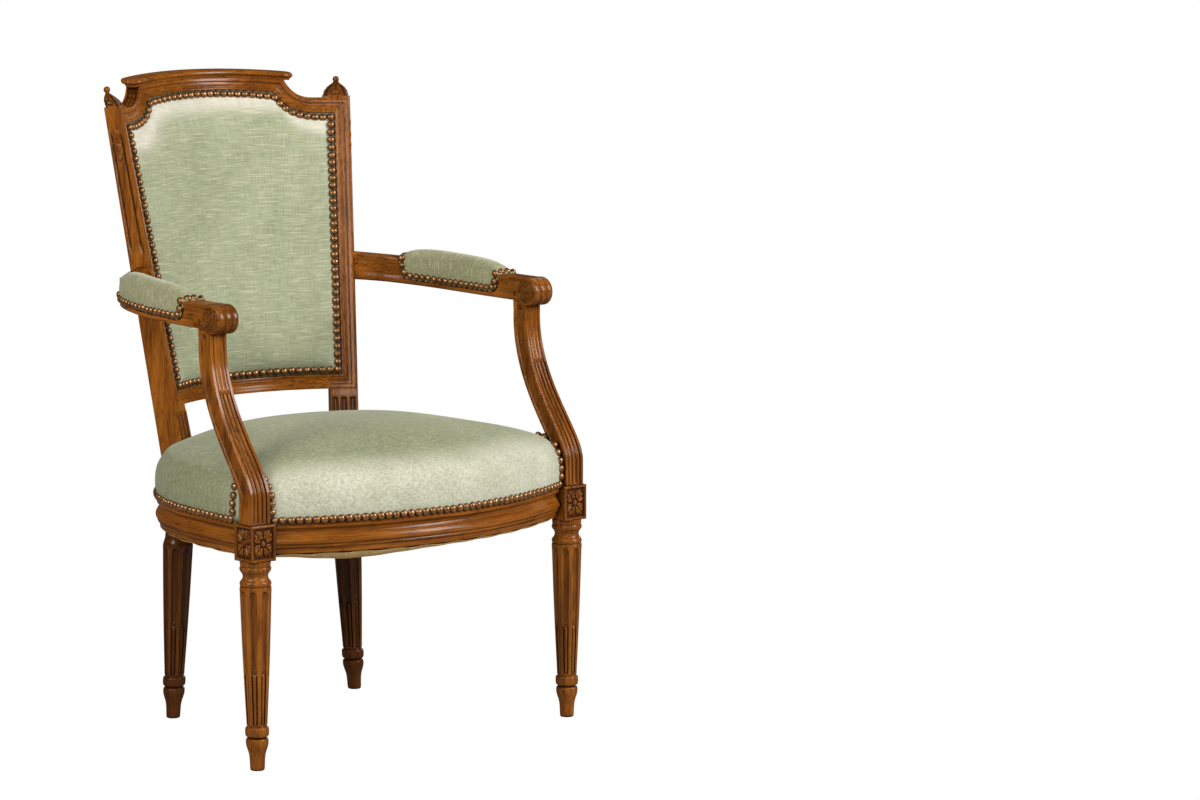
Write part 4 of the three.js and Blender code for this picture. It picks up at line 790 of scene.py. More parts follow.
def finial_shape():
    """The carved bud on a stile and the ball on its tip."""
    thickness = thickness_at(BACK_HIGH)
    rises = np.unique(series(FINIAL_PROFILE[:, 0], (0, 1, 34)))
    angle = circle(144)
    fold = zigzag(angle / (math.pi / 2) + 0.5)
    square = [np.sign(f) * np.abs(f) ** 0.62 for f in (np.cos(angle), np.sin(angle))]
    rows, wear_and_shade = [], []
    for rise, wide in zip(rises, np.interp(rises, *FINIAL_PROFILE.T)):
        leaf = smooth(rise, 0.02, 0.1) * (1 - smooth(rise, 0.86, 0.96))
        outline = 0.8 - 0.22 * rise + 0.1 * math.cos(rise * 8 * math.pi)
        drop = np.hypot(fold / 0.34, (rise - 0.34) / 0.17)
        cut = (2.0 * smooth(fold, outline - 0.03, outline + 0.03) + 1.3 * bump(drop, 1, 0.24)
               + 1.2 * bump(fold, 0, 0.09) * smooth(rise, 0.52, 0.6)
               + bump(np.mod(rise * 4 - fold * 0.9, 1), 0.5, 0.13) * smooth(fold, 0.34, 0.42)) * leaf
        cut = np.clip(cut, 0, 2.2)
        reach = wide * (1 - cut / (16 * wide))
        u = STILE_WIDTH / 2 + square[0] * reach * STILE_WIDTH / 2.1
        v = thickness / 2 + square[1] * reach * thickness / 2.1 + FINIAL_LEAN * max(rise, 0)
        rows.append(on_stile(u, v, BACK_HIGH) + [0, 0, rise * FINIAL_HEIGHT])
        # The leaf painted darker and its cuts darker still: painted shade in the carving.
        wear_and_shade.append(-0.4 * leaf - 0.55 * np.clip(cut / 1.4, 0, 1) + 0 * angle)
    lat = np.linspace(-1.1, math.pi / 2, 14)[:, None]
    flat = BALL_RADIUS * np.cos(lat)
    ball = stacked(flat * np.cos(angle), flat * np.sin(angle), 3.4 + BALL_RADIUS * np.sin(lat))
    return together(loft(rows, wear_and_shade=wear_and_shade), loft(rows[-1].mean(axis=0) + ball))


def rear_post_shape():
    """One plank: leg, block at the seat, fluted stump, moulded stile and finial."""
    x, y, _ = POST_FOOT
    # The leg is painted darker all over: painted shade, as under the seat.
    leg = leg_shape((REAR_FOOT_X, y), (x, y, RAIL_BOTTOM + 2), REAR_HEAD_ROWS, -0.75)
    middle = np.array([STILE_WIDTH, POST_THICKNESS]) / 2
    corners = rounded(middle + CORNERS * middle, share=0.03, closed=True) - middle
    seat_block = loft([on_stile(*(corners * size + middle).T, z) for z, size in (
        (RAIL_BOTTOM, 1 - 0.7 / 17), (RAIL_BOTTOM + 0.6, 1), (RAIL_TOP - 1, 1), (RAIL_TOP + 0.1, 1))])
    stump_z = series(RAIL_TOP - 0.3, 348, (352, 358, 6), (362, BACK_LOW - 20, 12),
                     (STUMP_TOP - 4, STUMP_TOP, 6), BACK_LOW - 9.3)
    # The stump painted darker, most in its flutes: painted shade.
    dark = [series(-0.35 - 0.2 * stump_line(z)[1], np.zeros(PLAIN_POINTS)) for z in stump_z]
    stump = loft(post_rows(stump_z, stump_line), wear_and_shade=dark)
    stile_z = series(BACK_LOW - np.array([9.4, 9, 1, 0.4]), (BACK_LOW, BACK_LOW + 24, 49), (490, 850, 60),
                     (CREST_EDGE_LOW - 3, BACK_HIGH, 52))
    stile = loft(post_rows(stile_z, stile_line))
    drops = []
    for z, size in DROPS:
        half = thickness_at(z) / 2
        out = on_stile(-1, half, z) - on_stile(0, half, z)
        drops.append(boss(on_stile(0.7, half, z), out, -UP, 4.6 * size, 8.5 * size, DROP_PROFILE, 32, 0.35))
    return together(leg, seat_block, stump, stile, finial_shape(), *drops)


# Back rails

def lower_rail_shape():
    seen = np.linspace(0, LOWER_VISIBLE, 44)
    deep = series(moulding(1 - seen / LOWER_VISIBLE), REBATE, REBATE, LOWER_THICKNESS, LOWER_THICKNESS)
    z = BACK_LOW + series(seen, LOWER_VISIBLE + 0.05, LOWER_HEIGHT, LOWER_HEIGHT, 0)
    rows = on_back(np.linspace(-1, 1, 60)[:, None] * opening(z, 0.2), deep, z)
    return loft(rows, rows[..., ACROSS_CHAIR])


def crest_line(corner, corner_z, end_z, scoop_point):
    """Lower edge or top of the crest's moulding from stile to stile: distance round the back, and height."""
    level = np.linspace(0, 1, 36)
    half = np.concatenate([stacked(corner * level, corner_z - CREST_FALL * level ** 2),
                           scoop_point(np.linspace(0, 1, 60)[1:]), [[half_width(end_z, 0.2), end_z]]])
    return np.concatenate([half[:0:-1] * [-1, 1], half])


def leaf_row(distance, over):
    """Height of the leaf carved on top of the crest's scoop, across its thickness."""
    along = np.clip((CREST_TOP_LEVEL - 2 - distance) / (CREST_TOP_LEVEL - CREST_TOP_CORNER - 2), 0, 1)
    if along <= 0 or distance < CREST_TOP_CORNER - 1:
        return 0 * over
    aside = np.abs(over - 0.5) * 2
    field = smooth(along, 0, 0.06) * (1 - smooth(aside, 0.8, 0.86))
    width = 0.85 * math.sqrt(max(0.0, math.sin(math.pi * min(1, 0.08 + 0.92 * along))))
    lobe = 0.72 + 0.28 * math.cos(along * 5 * 2 * math.pi)
    vein = bump(aside, 0, 0.14) + 0.8 * bump(np.mod(along * 5 - aside * 1.2, 1), 0.5, 0.12)
    body = np.clip((width * lobe - aside) * 5, 0, 1)
    return field * (body * (2.2 - 1.8 * np.clip(vein, 0, 1)) - 2.4)


def crest_shape():
    """The crest: its lap behind the upholstery, its moulding, its top with the carved scoops, and its rear."""
    thickness = thickness_at(BACK_HIGH)
    across, over = np.linspace(0, 1, 46), np.linspace(0, 1, 40)
    behind = series(thickness, REBATE, REBATE, moulding(across), mix(1.5, thickness - 0.5, over), thickness)
    rows, wear_and_shade = [], []
    for edge, top in zip(crest_line(CREST_EDGE_CORNER, CREST_EDGE, CREST_EDGE_LOW, edge_point),
                         crest_line(CREST_TOP_CORNER, CREST_TOP, CREST_TOP_LOW, top_point)):
        span = np.linalg.norm(top - edge)
        leaf = leaf_row(abs(top[0]), over)
        lap = -CREST_LAP / span
        share = series(lap, lap, -0.005, across, 1 + leaf / span, 1)
        rows.append(round_back(mix(edge[0], top[0], share), behind, mix(edge[1], top[1], share)))
        # The carved leaf's hollows painted dark: painted shade.
        wear_and_shade.append(series(np.zeros(3 + len(across)), -0.85 * smooth(-leaf, 0.5, 2), 0))
    rows = np.array(rows)
    return loft(rows, rows[..., ACROSS_CHAIR], wear_and_shade)


# Half of the cap's section: shares of its half width and of its height
CAP_PROFILE = rounded([
    (0.66, -0.02), (0.68, 0.1), (0.72, 0.22), (0.8, 0.3), (0.86, 0.32), (0.87, 0.38), (0.93, 0.4),
    (0.985, 0.48), (1, 0.62), (0.985, 0.78), (0.93, 0.9), (0.8, 0.97), (0.6, 1)])


def cap_shape():
    """The cap moulding on the crest, straight along the top and rounded at both ends."""
    middle = thickness_at(BACK_HIGH) / 2
    half = middle + CAP_OVERHANG
    straight = CAP_HALF_LENGTH - half
    bend = both_ways(series(np.zeros(30), np.linspace(0, 0.985, 18)[1:] * math.pi / 2))[:, None]
    level = both_ways(series((0, straight, 30), np.full(17, straight)))[:, None]
    across, up = np.concatenate([CAP_PROFILE, (CAP_PROFILE * [-1, 1])[::-1]]).T
    at = level + np.abs(across) * half * np.sin(bend)
    z = CREST_TOP - 0.3 - CREST_FALL * (at / CREST_TOP_CORNER) ** 2 + up * CAP_THICKNESS
    rows = round_back(at, middle + across * half * np.cos(bend), z)
    return loft(rows, rows[..., ACROSS_CHAIR])


# Arms

IN_PLAN = np.array([1, 1, 0])
ARM_LEAVES = math.radians(25)  # the arm's way out of the stile
ARM_REAR = on_stile(0, thickness_at(ARM_REAR_TOP) / 2, ARM_REAR_TOP - ARM_REAR_HEIGHT / 2) * IN_PLAN
ARM_LINE = np.array([math.cos(ARM_LEAVES), -math.sin(ARM_LEAVES), 0])
ARM = Curve(ARM_REAR - ARM_LINE * STILE_WIDTH / 8, ARM_REAR + ARM_LINE * 82,
            (ARM_X, SCROLL_Y + 204, 0), (ARM_X, SCROLL_Y, 0))
PEG_RADIUS = 2.6
PEG_PROFILE = [(1.45, -0.5), (1.35, 0.25), (1.15, 0.25), (1.05, -0.35), (0.98, -0.35), (0.9, 0.5), (0.02, 0.7)]

# The arm's outer side from its bottom up: shares of its half width and of its height
ARM_SIDE = rounded([(0.76, 0), (0.97, 0.04), (1, 0.1), (1, 0.19), (0.93, 0.24), (0.88, 0.3), (0.88, 0.68),
                    (0.93, 0.74), (1, 0.79), (1, 0.9), (0.96, 0.97), (0.8, 1)])


def beside_arm(share, aside, height):
    return beside(ARM.at(share), aside, height)


def arm_top(share):
    return mix(ARM_FRONT_TOP, ARM_REAR_TOP, (1 - share) ** 2)


def arm_height(share):
    return mix(ARM_FRONT_HEIGHT, ARM_REAR_HEIGHT, (1 - share) ** 2)


def arm_half(share):
    return mix(ARM_REAR_THICKNESS, ARM_FRONT_WIDTH, smooth(share, 0.05, 0.3)) / 2


def pocket_floor(share, inset=0.0):
    """Height of the pocket for the pad, whose ends are rounded up to the arm's top."""
    length = ARM.length
    near = np.minimum(share - POCKET_START - inset / length, POCKET_END - inset / length - share)
    near = np.clip(near * length / POCKET_ROUND, 0, 1)
    rise = (arm_height(share) - POCKET_FLOOR) * (1 - np.sqrt(1 - (1 - near) ** 2))
    return arm_top(share) - arm_height(share) + POCKET_FLOOR + rise + inset


def over_and_back(side, height):
    """Sections from their side and its heights, carried on down the other side."""
    return np.concatenate([side, -side[:, ::-1]], axis=1), np.concatenate([height, height[:, ::-1]], axis=1)


def pegs(half, y, z):
    """Ends of a wooden peg on both sides of an arm or a console, each with a dark ring."""
    return [boss((ARM_X + way * half, y, z), (way, 0, 0), UP, PEG_RADIUS, PEG_RADIUS, PEG_PROFILE, wear_and_shade=-0.6)
            for way in (1, -1)]


def arm_shape():
    """The arm from the stile to the scroll, with the pocket for its pad."""
    length = ARM.length
    end = 1 - ARM_FRONT_WIDTH * 0.3 / length
    steps = POCKET_ROUND * (1 - np.cos(np.linspace(0, math.pi / 2, 14))) / length
    inner = (POCKET_START + 19 / length, POCKET_END - 19 / length)
    share = np.unique(series((0, POCKET_START, 16), POCKET_START + steps, (*inner, 40), POCKET_END - steps,
                             (POCKET_END, end, 14)))[:, None]
    top, tall = arm_top(share), arm_height(share)
    limit = np.where((share > POCKET_START) & (share < POCKET_END), pocket_floor(share), top)
    side, z = ARM_SIDE[:, 0] * arm_half(share), np.minimum(top - tall + ARM_SIDE[:, 1] * tall, limit)
    rows = beside_arm(share, *over_and_back(side, z))
    grain = stacked(rows[..., 0] * 0.3, rows[..., 2], share * length)
    # Darker towards the hand rest: dirt from hands, and painted shade.
    handled_and_shaded = -0.35 * smooth(share, POCKET_END - 0.03, POCKET_END + 0.04)
    return together(loft(rows, grain, handled_and_shaded), hand_rest_shape())


# Hand rests, in places from the middle of the scroll

DISC_RADIUS = 18.6


def scroll_line(lobe):
    """Side outline of the hand rest where its lobes stand out by lobe: y and z."""
    top = ARM_FRONT_TOP - SCROLL_Z
    bottom, rear = ARM_FRONT_HEIGHT - top, ARM_FRONT_WIDTH * 1.1
    share = np.linspace(0, 1, 64)
    angle = mix(math.pi / 2, -math.pi * 0.72, share)
    front = mix(top, 23.0, smooth(share, 0, 0.4))
    reach = mix(front, 19.5, smooth(share, 0.4, 0.9)) + lobe * np.sin(math.pi * np.clip(share * 1.15, 0, 1))
    return series(rear, rear, -reach * np.cos(angle)), series(2 - bottom, top - 2, reach * np.sin(angle))


def hand_rest_shape():
    """The scroll with three lobes across, and its roundels, beads and pegs."""
    half = ARM_FRONT_WIDTH / 2
    across = series(-1, -0.995, -0.98, (-0.95, 0.95, 61), 0.98, 0.995, 1)
    fold = zigzag((across + 1) * 1.5)
    rim = np.clip((np.abs(across) - 0.93) / 0.07, 0, 1)
    lobes = 2.2 * np.sqrt(np.clip(1 - (fold * 0.97) ** 2.4, 0, 1)) - 0.5 - 1.2 * rim ** 2
    y, z = np.moveaxis([scroll_line(lobe) for lobe in lobes], 1, 0)
    rows = stacked(ARM_X + across[:, None] * half, SCROLL_Y + y, SCROLL_Z + z)
    # Darker all over, dirt from hands and painted shade, and darker in the hollows between the lobes: painted
    # shade.
    body = loft(rows, rows[..., [0, 2, 1]], (-0.35 - 0.3 * fold ** 6 * (rim == 0))[:, None])
    return together(body, scroll_disc(half), scroll_disc(-half), rim_bead(half), rim_bead(-half),
                    *pegs(half, SCROLL_Y + 23, SCROLL_Z - 4))


def rim_bead(aside):
    """The raised line along the top of the hand rest's side and round the front of its scroll."""
    top = ARM_FRONT_TOP - SCROLL_Z - 4.4
    angle = np.linspace(math.pi / 2, -math.radians(35), 40)
    reach = mix(top, DISC_RADIUS, smooth(math.pi / 2 - angle, 0, 1.2))
    line = np.concatenate([stacked(np.linspace(ARM_FRONT_WIDTH * 1.05, 1.5, 12), top),
                           stacked(-reach * np.cos(angle), reach * np.sin(angle))])
    along = unit(np.gradient(line, axis=0))
    wide = np.array([-1.6, -1.3, -0.8, -0.5, 0, 0.5, 0.8, 1.3, 1.6])
    lift = np.array([-0.4, 0.06, 0.1, 0.5, 0.65, 0.5, 0.1, 0.06, -0.4])
    rows = stacked(ARM_X + aside + math.copysign(1, aside) * lift, SCROLL_Y + line[:, :1] - along[:, 1:] * wide,
                   SCROLL_Z + line[:, 1:] + along[:, :1] * wide)
    # Its sides painted dark: painted shade, as in a groove beside the bead.
    return loft(rows, wear_and_shade=[-1, -1, -1, -0.4, 0, -0.4, -1, -1, -1])


def scroll_disc(aside):
    """The raised roundel on one side of the hand rest, with its spiral groove."""
    reach, angle = np.linspace(0, DISC_RADIUS, 63)[:, None], circle(144)
    turn = np.mod(angle - math.radians(62), 2 * math.pi) / (2 * math.pi)
    out = 0.9 * (1 - smooth(reach, 16.4, 17.2)) - 0.25 + 0.5 * (1 - smooth(reach, 0, 7))
    # The roundel painted darker, and darker still along its spiral groove: painted shade.
    dark = -0.5
    for lap, fade in ((0, 1.0), (1, 1 - smooth(turn, 0.5, 0.65))):
        line = 15.2 - 6.2 * (turn + lap)
        out = out - 1.7 * bump(reach, line, 1.0) * fade + 0.5 * bump(reach, line + 2.1, 1.0) * fade
        dark = dark - bump(reach, line, 1.1) * fade
    rows = stacked(ARM_X + aside + math.copysign(1, aside) * out, SCROLL_Y + reach * np.cos(angle),
                   SCROLL_Z + reach * np.sin(angle))
    return Shape(rows, grid_faces(*rows.shape[:2], True), wear_and_shade=dark)


# Consoles

RISE = CONSOLE_BEND_TOP - CONSOLE_BEND
CONSOLE_ENDS = [np.array(p, float) for p in (
    (0, CONSOLE_Y, CONSOLE_BEND), (0, CONSOLE_Y, CONSOLE_BEND + RISE * 0.17),
    (0, CONSOLE_Y + CONSOLE_SWEEP * 1.05, CONSOLE_BEND_TOP - RISE * 0.5),
    (0, CONSOLE_Y + CONSOLE_SWEEP, CONSOLE_BEND_TOP))]
REEDED = 0.66  # share of the front's half width that the reeds take
REEDS_TOP = 509
# The console's side with its channel: shares of its half width and of its half depth
CONSOLE_SIDE = rounded([(1, -0.9), (1, -0.66), (0.985, -0.6), (0.86, -0.5), (0.86, 0.5), (0.985, 0.6),
                        (1, 0.68), (1, 0.95), (0.96, 1)], times=1)


def console_line():
    """Middle of the console and the way it runs: upright, swept back, and upright again in the arm."""
    swept, along = bezier(*CONSOLE_ENDS, np.linspace(0, 1, 132))
    low = stacked(0, CONSOLE_Y, np.linspace(RAIL_TOP + JOINT_GAP, CONSOLE_BEND - 1, 12))
    high = stacked(0, CONSOLE_Y + CONSOLE_SWEEP, np.linspace(586, 616, 8))
    return np.concatenate([low, swept, high]), np.concatenate([[UP] * len(low), along, [UP] * len(high)])


def console_half(z):
    """Half of the console's width and half of its depth."""
    share = np.clip((z - CONSOLE_BEND) / RISE, 0, 1)
    return np.array([mix(33, 27, share) / 2, mix(27, 29, share) / 2])


def across_console(middle, along, section):
    """A section square to the console's line."""
    u, v = section.T
    return stacked(ARM_X + u, middle[1] + along[2] * v, middle[2] - along[1] * v)


def console_shape():
    """The swept console, with three reeds down its front that end in tongues, and a channel down each side."""
    point, along = console_line()
    reed_x = series(-1, -0.985, (-0.95, 0.95, 73), 0.985, 1)
    fold, reeded = zigzag((reed_x / REEDED + 1) * 1.5), np.abs(reed_x) < REEDED
    reed = 2.3 * fold ** 2.2 * reeded
    rim = 1.2 * np.clip((np.abs(reed_x) - 0.95) / 0.05, 0, 1) ** 2
    rows, wear_and_shade = [], []
    for p, a in zip(point, along):
        half, deep = console_half(p[2])
        carved = smooth(p[2], RAIL_TOP + 0.5, RAIL_TOP + 3)
        channel = smooth(p[2], RAIL_TOP + 22, RAIL_TOP + 23.5) * (1 - smooth(p[2], 588, 590))
        tongue = 1.3 * bump(p[2], REEDS_TOP - 8 * fold ** 2, 1.7) * reeded
        cut = (reed * mix(1, 0.3, smooth(p[2], REEDS_TOP - 9, REEDS_TOP + 3)) + tongue) * carved
        side = CONSOLE_SIDE * [half, deep]
        side[:, 0] = mix(half, side[:, 0], channel)
        front = stacked(reed_x * half, -deep + cut + rim)
        rows.append(across_console(p, a, np.concatenate([front, side, (side * [-1, 1])[::-1]])))
        # The hollows of the reeds and the side channels painted dark: painted shade.
        hollow = -0.4 * smooth(half - side[:, 0], 0.4, 1.8)
        wear_and_shade.append(series(-0.8 * smooth(cut, 0.3, 2.2), hollow, hollow[::-1]))
    rows = np.array(rows)
    grain = stacked(rows[..., 0], rows[..., 1] * 0.3, run_along(point)[:, None])
    return together(loft(rows, grain, wear_and_shade), *pegs(13.4, CONSOLE_Y + CONSOLE_SWEEP + 1, 589.5))


# Nails: points on the cover, and the ways that the heads face

NAIL_RADIUS, NAIL_RISE = 5.8, 5.2
NAIL_PITCH, CONSOLE_NAIL_PITCH, ARM_NAIL_PITCH, PAD_END_PITCH = 11.4, 11.3, 11.2, 10.2
SEAT_NAILS_Z, BACK_NAILS_Z = 343.2, 481.7  # the rows along the rails' tops
BACK_NAILS_INWARD = 27  # from a stile's outer edge
PAD_END_ROUND = 12  # radius of the rows round the ends of an arm's pocket


def resampled(points, normals, pitch, last=True):
    """Even steps of about the pitch along a line of points, with or without its last one."""
    run = run_along(points)
    at = np.linspace(0, run[-1], max(int(round(run[-1] / pitch)), 1) + 1)
    at = at if last else at[:-1]
    return at_runs(points, run, at), at_runs(normals, run, at)


def both_sides(parts):
    """Nails of the left half, and mirrored those that aren't on the middle line."""
    points, normals = (np.concatenate(values) for values in zip(*parts))
    aside = points[:, 0] > 2
    return tuple(np.concatenate([values, values[aside] * MIRROR]) for values in (points, normals))


def nail_heads(points, normals, seed):
    """Domed heads, each a little out of place and out of line."""
    rng = np.random.default_rng(seed)
    angle = circle(14)
    shapes = []
    for point, normal in zip(points, normals):
        n = Vector(unit(normal) + rng.normal(0, 0.035, 3)).normalized()
        a = n.orthogonal().normalized()
        n, a, b = (np.array(v) for v in (n, a, n.cross(a)))
        size = NAIL_RADIUS * rng.uniform(0.96, 1.03)
        centre = point + a * rng.normal(0, 0.2) + b * rng.normal(0, 0.2)
        ring = np.cos(angle)[:, None] * a + np.sin(angle)[:, None] * b
        dome = [(max(size * math.cos(lat) ** 0.85, 0.15), NAIL_RISE * math.sin(lat) - 0.5)
                for lat in np.linspace(0, math.pi / 2, 6)]
        shapes.append(loft([centre + reach * ring + up * n for reach, up in [(size * 0.9, -1.6), *dome]]))
    return together(*shapes)


def back_normals(points):
    """The way the front of the back faces, and a little up."""
    out = unit(stacked(-points[:, 0], back_at(points[:, 2])[1] - points[:, 1], 0.0))
    return out + 0.16 * UP


def back_nail_path():
    """Distance round the back and height, in three runs from the middle of the lower edge round the left
    side to the middle of the crest."""
    margin = STILE_WIDTH - BACK_NAILS_INWARD
    side_z = np.linspace(BACK_NAILS_Z, 850.2, 40)
    side = stacked(half_width(side_z, margin), side_z)
    corner = [(182, 849.7), (170.4, 849.8), (160, 851), (148.2, 853.4), (136.6, 857.2), (127.8, 863.3),
              (120.5, 870.6), (114.5, 878.6), (108, 881.3)]
    crest = np.linspace(102, 0, 16)
    crest = stacked(crest, 887.5 - 5.6e-4 * crest * crest)
    low = stacked(np.linspace(0, half_width(BACK_NAILS_Z, margin), 20), BACK_NAILS_Z)
    return low, side, np.concatenate([side[-1:], corner, crest])


def back_nails():
    parts = []
    for path, last in zip(back_nail_path(), (False, False, True)):
        points = round_back(path[:, 0], -1.3, path[:, 1])
        parts.append(resampled(points, back_normals(points), NAIL_PITCH, last))
    return both_sides(parts)


# The seat

SEAT_HALF_POINTS = 150
SEAT_SWELL, SEAT_SIDE, SEAT_CROWN = 2.5, 55, 105
CONSOLE_DENT, POST_DENT = 5, 6  # how much lower the seat's top is beside them

# Rows of the seat from its rim to its middle: share inward, swell outward, and rise above the rail
seat_side = [(inward, swell * SEAT_SWELL, rise * SEAT_SIDE) for inward, swell, rise in (
    (0, -0.2, 0), (0, 0.8, 0.15), (0, 1, 0.45), (0.006, 0.75, 0.72), (0.022, 0.2, 0.92))]
seat_top = [(inward, 0, mix(SEAT_SIDE, SEAT_CROWN, 1 - (1 - inward) ** 2.7)) for inward in (
    0.05, 0.09, 0.14, 0.22, 0.3, 0.4, 0.5, 0.62, 0.74, 0.86, 0.97)]
SEAT_RISE = rounded(seat_side + seat_top)


def seat_outline(inset):
    """The seat in plan, from the middle of the front round the left side to the middle of the rear, and on
    round the right side."""
    front = front_rail_at(np.linspace(0, 250, 44), -inset, 0)
    side = side_rail_at(np.linspace(0.07, 0.985, 60), -inset, 0)
    a, b = front[-1], side[0]
    reach = np.linalg.norm(b - a) * 0.5
    corner, _ = bezier(a, a + unit(a - front[-2]) * reach, b - np.array([0, reach, 0]), b,
                       np.linspace(0, 1, 16)[1:-1])
    rear = on_back(np.linspace(POST_MIDDLE_TURN - 0.06, 0, 30), REAR_RAIL_FRONT + RAIL_THICKNESS - inset, 0)
    half = np.concatenate([front, corner, side, rear])[:, :2]
    run = run_along(half)
    half = at_runs(half, run, np.linspace(0, run[-1], SEAT_HALF_POINTS))
    for k in range(2):
        half[2:-2, k] = np.convolve(half[:, k], np.array([1, 2, 3, 2, 1]) / 9, "valid")
    return np.concatenate([half, (half * [-1, 1])[-2:0:-1]])


def seat_points(inward, swell, z):
    """The seat's outline drawn in by a share and swelled out, at a height."""
    base = seat_outline(2) - [0, SEAT_MIDDLE]
    length = np.hypot(*base.T)
    reach = (1 - inward) * length + swell
    x, y = (base / length[:, None]).T
    return stacked(x * reach, y * reach + SEAT_MIDDLE, z)


def seat_ring(z):
    """The left half of the seat's outline at a height."""
    inward, swell = (np.interp(z - RAIL_TOP - JOINT_GAP, SEAT_RISE[:, 2], SEAT_RISE[:, k]) for k in (0, 1))
    return seat_points(inward, swell, z)[:SEAT_HALF_POINTS, :2]


def console_place(z):
    """Middle of the console's depth at a height."""
    line, _ = bezier(*CONSOLE_ENDS, np.linspace(0, 1, 80))
    return np.interp(z, line[:, 2], line[:, 1])


def pulled(points, nails, middle, depth, width):
    """Draws the cover in at each nail, towards the middle of the piece."""
    tree = tree_of(nails)
    for point in points:
        _, _, away = tree.find(point)
        if away < 3 * width:
            point += unit((middle - point) * [1, 1, 0.3]) * depth * math.exp(-(away / width) ** 2)


def seat_shape(nails):
    """The stuffed seat: full in the middle, lower round the consoles and posts, and pulled in at the nails."""
    inward, swell, rise = SEAT_RISE.T[..., None]
    points = seat_points(inward, swell, RAIL_TOP + JOINT_GAP + rise)
    run = np.cumsum(np.linalg.norm(np.diff(points, axis=0, prepend=points[:1]), axis=2), axis=0)
    out = unit(points[0, :, :2] - [0, SEAT_MIDDLE])
    weave = (run[-1] - run + 12)[..., None] * out
    ahead = smooth(-out[:, 1], 0.15, 0.75)
    # Rubbed pale at the front; painted shade low down at the rim, by the nails.
    wear_and_shade = (1.1 * ahead * (1 - smooth(inward, -0.06, 0.36)) * smooth(rise, 3, 8)
            - 0.9 * (1 - smooth(rise, 2, 7)))
    x, y, z = points.reshape(-1, 3).T  # z is changed in place
    post_x, post_y, _ = on_stile(STILE_WIDTH / 2, 17, 400)
    for side in (LEFT, RIGHT):
        console_y = console_place(np.clip(z, CONSOLE_BEND, CONSOLE_BEND_TOP))
        away = np.hypot(np.clip(np.abs(x - side * ARM_X) - 16, 0, None),
                        np.clip(np.abs(y - console_y) - 14, 0, None))
        z -= CONSOLE_DENT * bump(away, 0, 7) * smooth(z, 375, 400)
        away = np.clip(np.hypot(x - side * post_x, y - post_y) - 22, 0, None)
        z -= POST_DENT * bump(away, 0, 9) * smooth(z, 380, 400)
    z += 0.9 * np.sin(x / 41 + 1.3) * np.sin(y / 53) * smooth(z, 385, 420)
    pulled(points.reshape(-1, 3), nails, middle=np.array([0, SEAT_MIDDLE, 360]), depth=1.3, width=5.5)
    return loft(points, stacked(weave[..., 0], weave[..., 1], 0), wear_and_shade)


CUT_GAP = 0.8  # between the seat's cover and a console or a post that passes it


def console_cutter():
    point, along = console_line()
    rows = [across_console(p, a, CORNERS * (console_half(p[2]) + CUT_GAP))
            for p, a in zip(point[::3], along[::3])]
    return loft([rows[0] - [0, 0, 12], *rows])


def post_cutter():
    rows = []
    for z in np.linspace(320, 470, 8):
        middle = np.array([STILE_WIDTH, thickness_at(z)]) / 2
        rows.append(on_stile(*(middle + CORNERS * (middle + CUT_GAP)).T, z))
    return loft(rows)


def crossing(ring, axis, value, part):
    """Where a part of the seat's outline crosses a value of x (axis 0) or of y (axis 1)."""
    line = ring[part]
    line = line[np.argsort(line[:, axis])]
    return np.interp(value, line[:, axis], line[:, 1 - axis])


def seat_nails():
    """Rows along the seat rails and up both sides of each console."""
    low = SEAT_NAILS_Z
    front = front_rail_at(np.linspace(0, 252, 60), -1.2, low)
    parts = [resampled(front, unit(front - [0, BOW_RADIUS - BOW_REACH, low]), NAIL_PITCH)]
    t = np.linspace(0.085, 0.945, 60)
    side = side_rail_at(t, -1.6, low)
    facing = side_rail_at(t, 1, low) - side_rail_at(t, 0, low)
    behind_block = side[:, 1] > 15
    parts.append(resampled(side[behind_block], facing[behind_block], NAIL_PITCH))
    for step, lower in enumerate((0, 0, 0, 0, 1.2, 3.5), 1):
        rise = low + CONSOLE_NAIL_PITCH * step - lower
        half, deep = console_half(rise)
        lean = 0.05 + 1.1 * smooth(rise, 378, 408)
        ring = seat_ring(rise)
        x, y = ring.T
        rear_y = console_place(max(rise, CONSOLE_BEND)) + deep + 19
        rear_x = crossing(ring, 1, rear_y, (y > -20) & (y < 200) & (x > 150)) + 1.2
        front_x = ARM_X - half - 5.4
        front_y = crossing(ring, 0, front_x, (y < 60) & (x < 262)) - 0.3
        parts.append((np.array([(rear_x, rear_y, rise), (front_x, front_y, rise)]),
                      np.array([(1.0, 0.1, lean), (0.4, -0.9, lean)])))
    return both_sides(parts)


# The back's upholstery

COVER_GAP = 0.3


class BackCover:
    """A grid over the back's opening from the right stile to the left: shares across and up, and heights."""

    def __init__(self, rows, columns, inset):
        self.margin = STILE_WIDTH - MOULD_WIDTH - COVER_GAP - inset
        bottom = BACK_LOW + LOWER_VISIBLE + COVER_GAP + inset
        low_side = half_width(CREST_EDGE_LOW, self.margin)
        across = both_ways(np.unique(series((0, low_side, columns // 2), low_side - np.geomspace(0.4, 14, 14))))
        near = np.geomspace(0.0008, 0.03, 9)
        distance, self.row = np.meshgrid(across, np.unique(series((0, 1, rows), near, 1 - near)))
        top = crest_edge(distance)
        self.share = distance / back_at(top)[0] / opening(top, self.margin)
        self.z = mix(bottom, top - COVER_GAP - inset, self.row)
        self.weave = stacked(self.share * 165, self.z, 0)

    def at(self, behind):
        """The grid's points at a depth behind the front of the frame."""
        return on_back(self.share * opening(self.z, self.margin), behind, self.z)


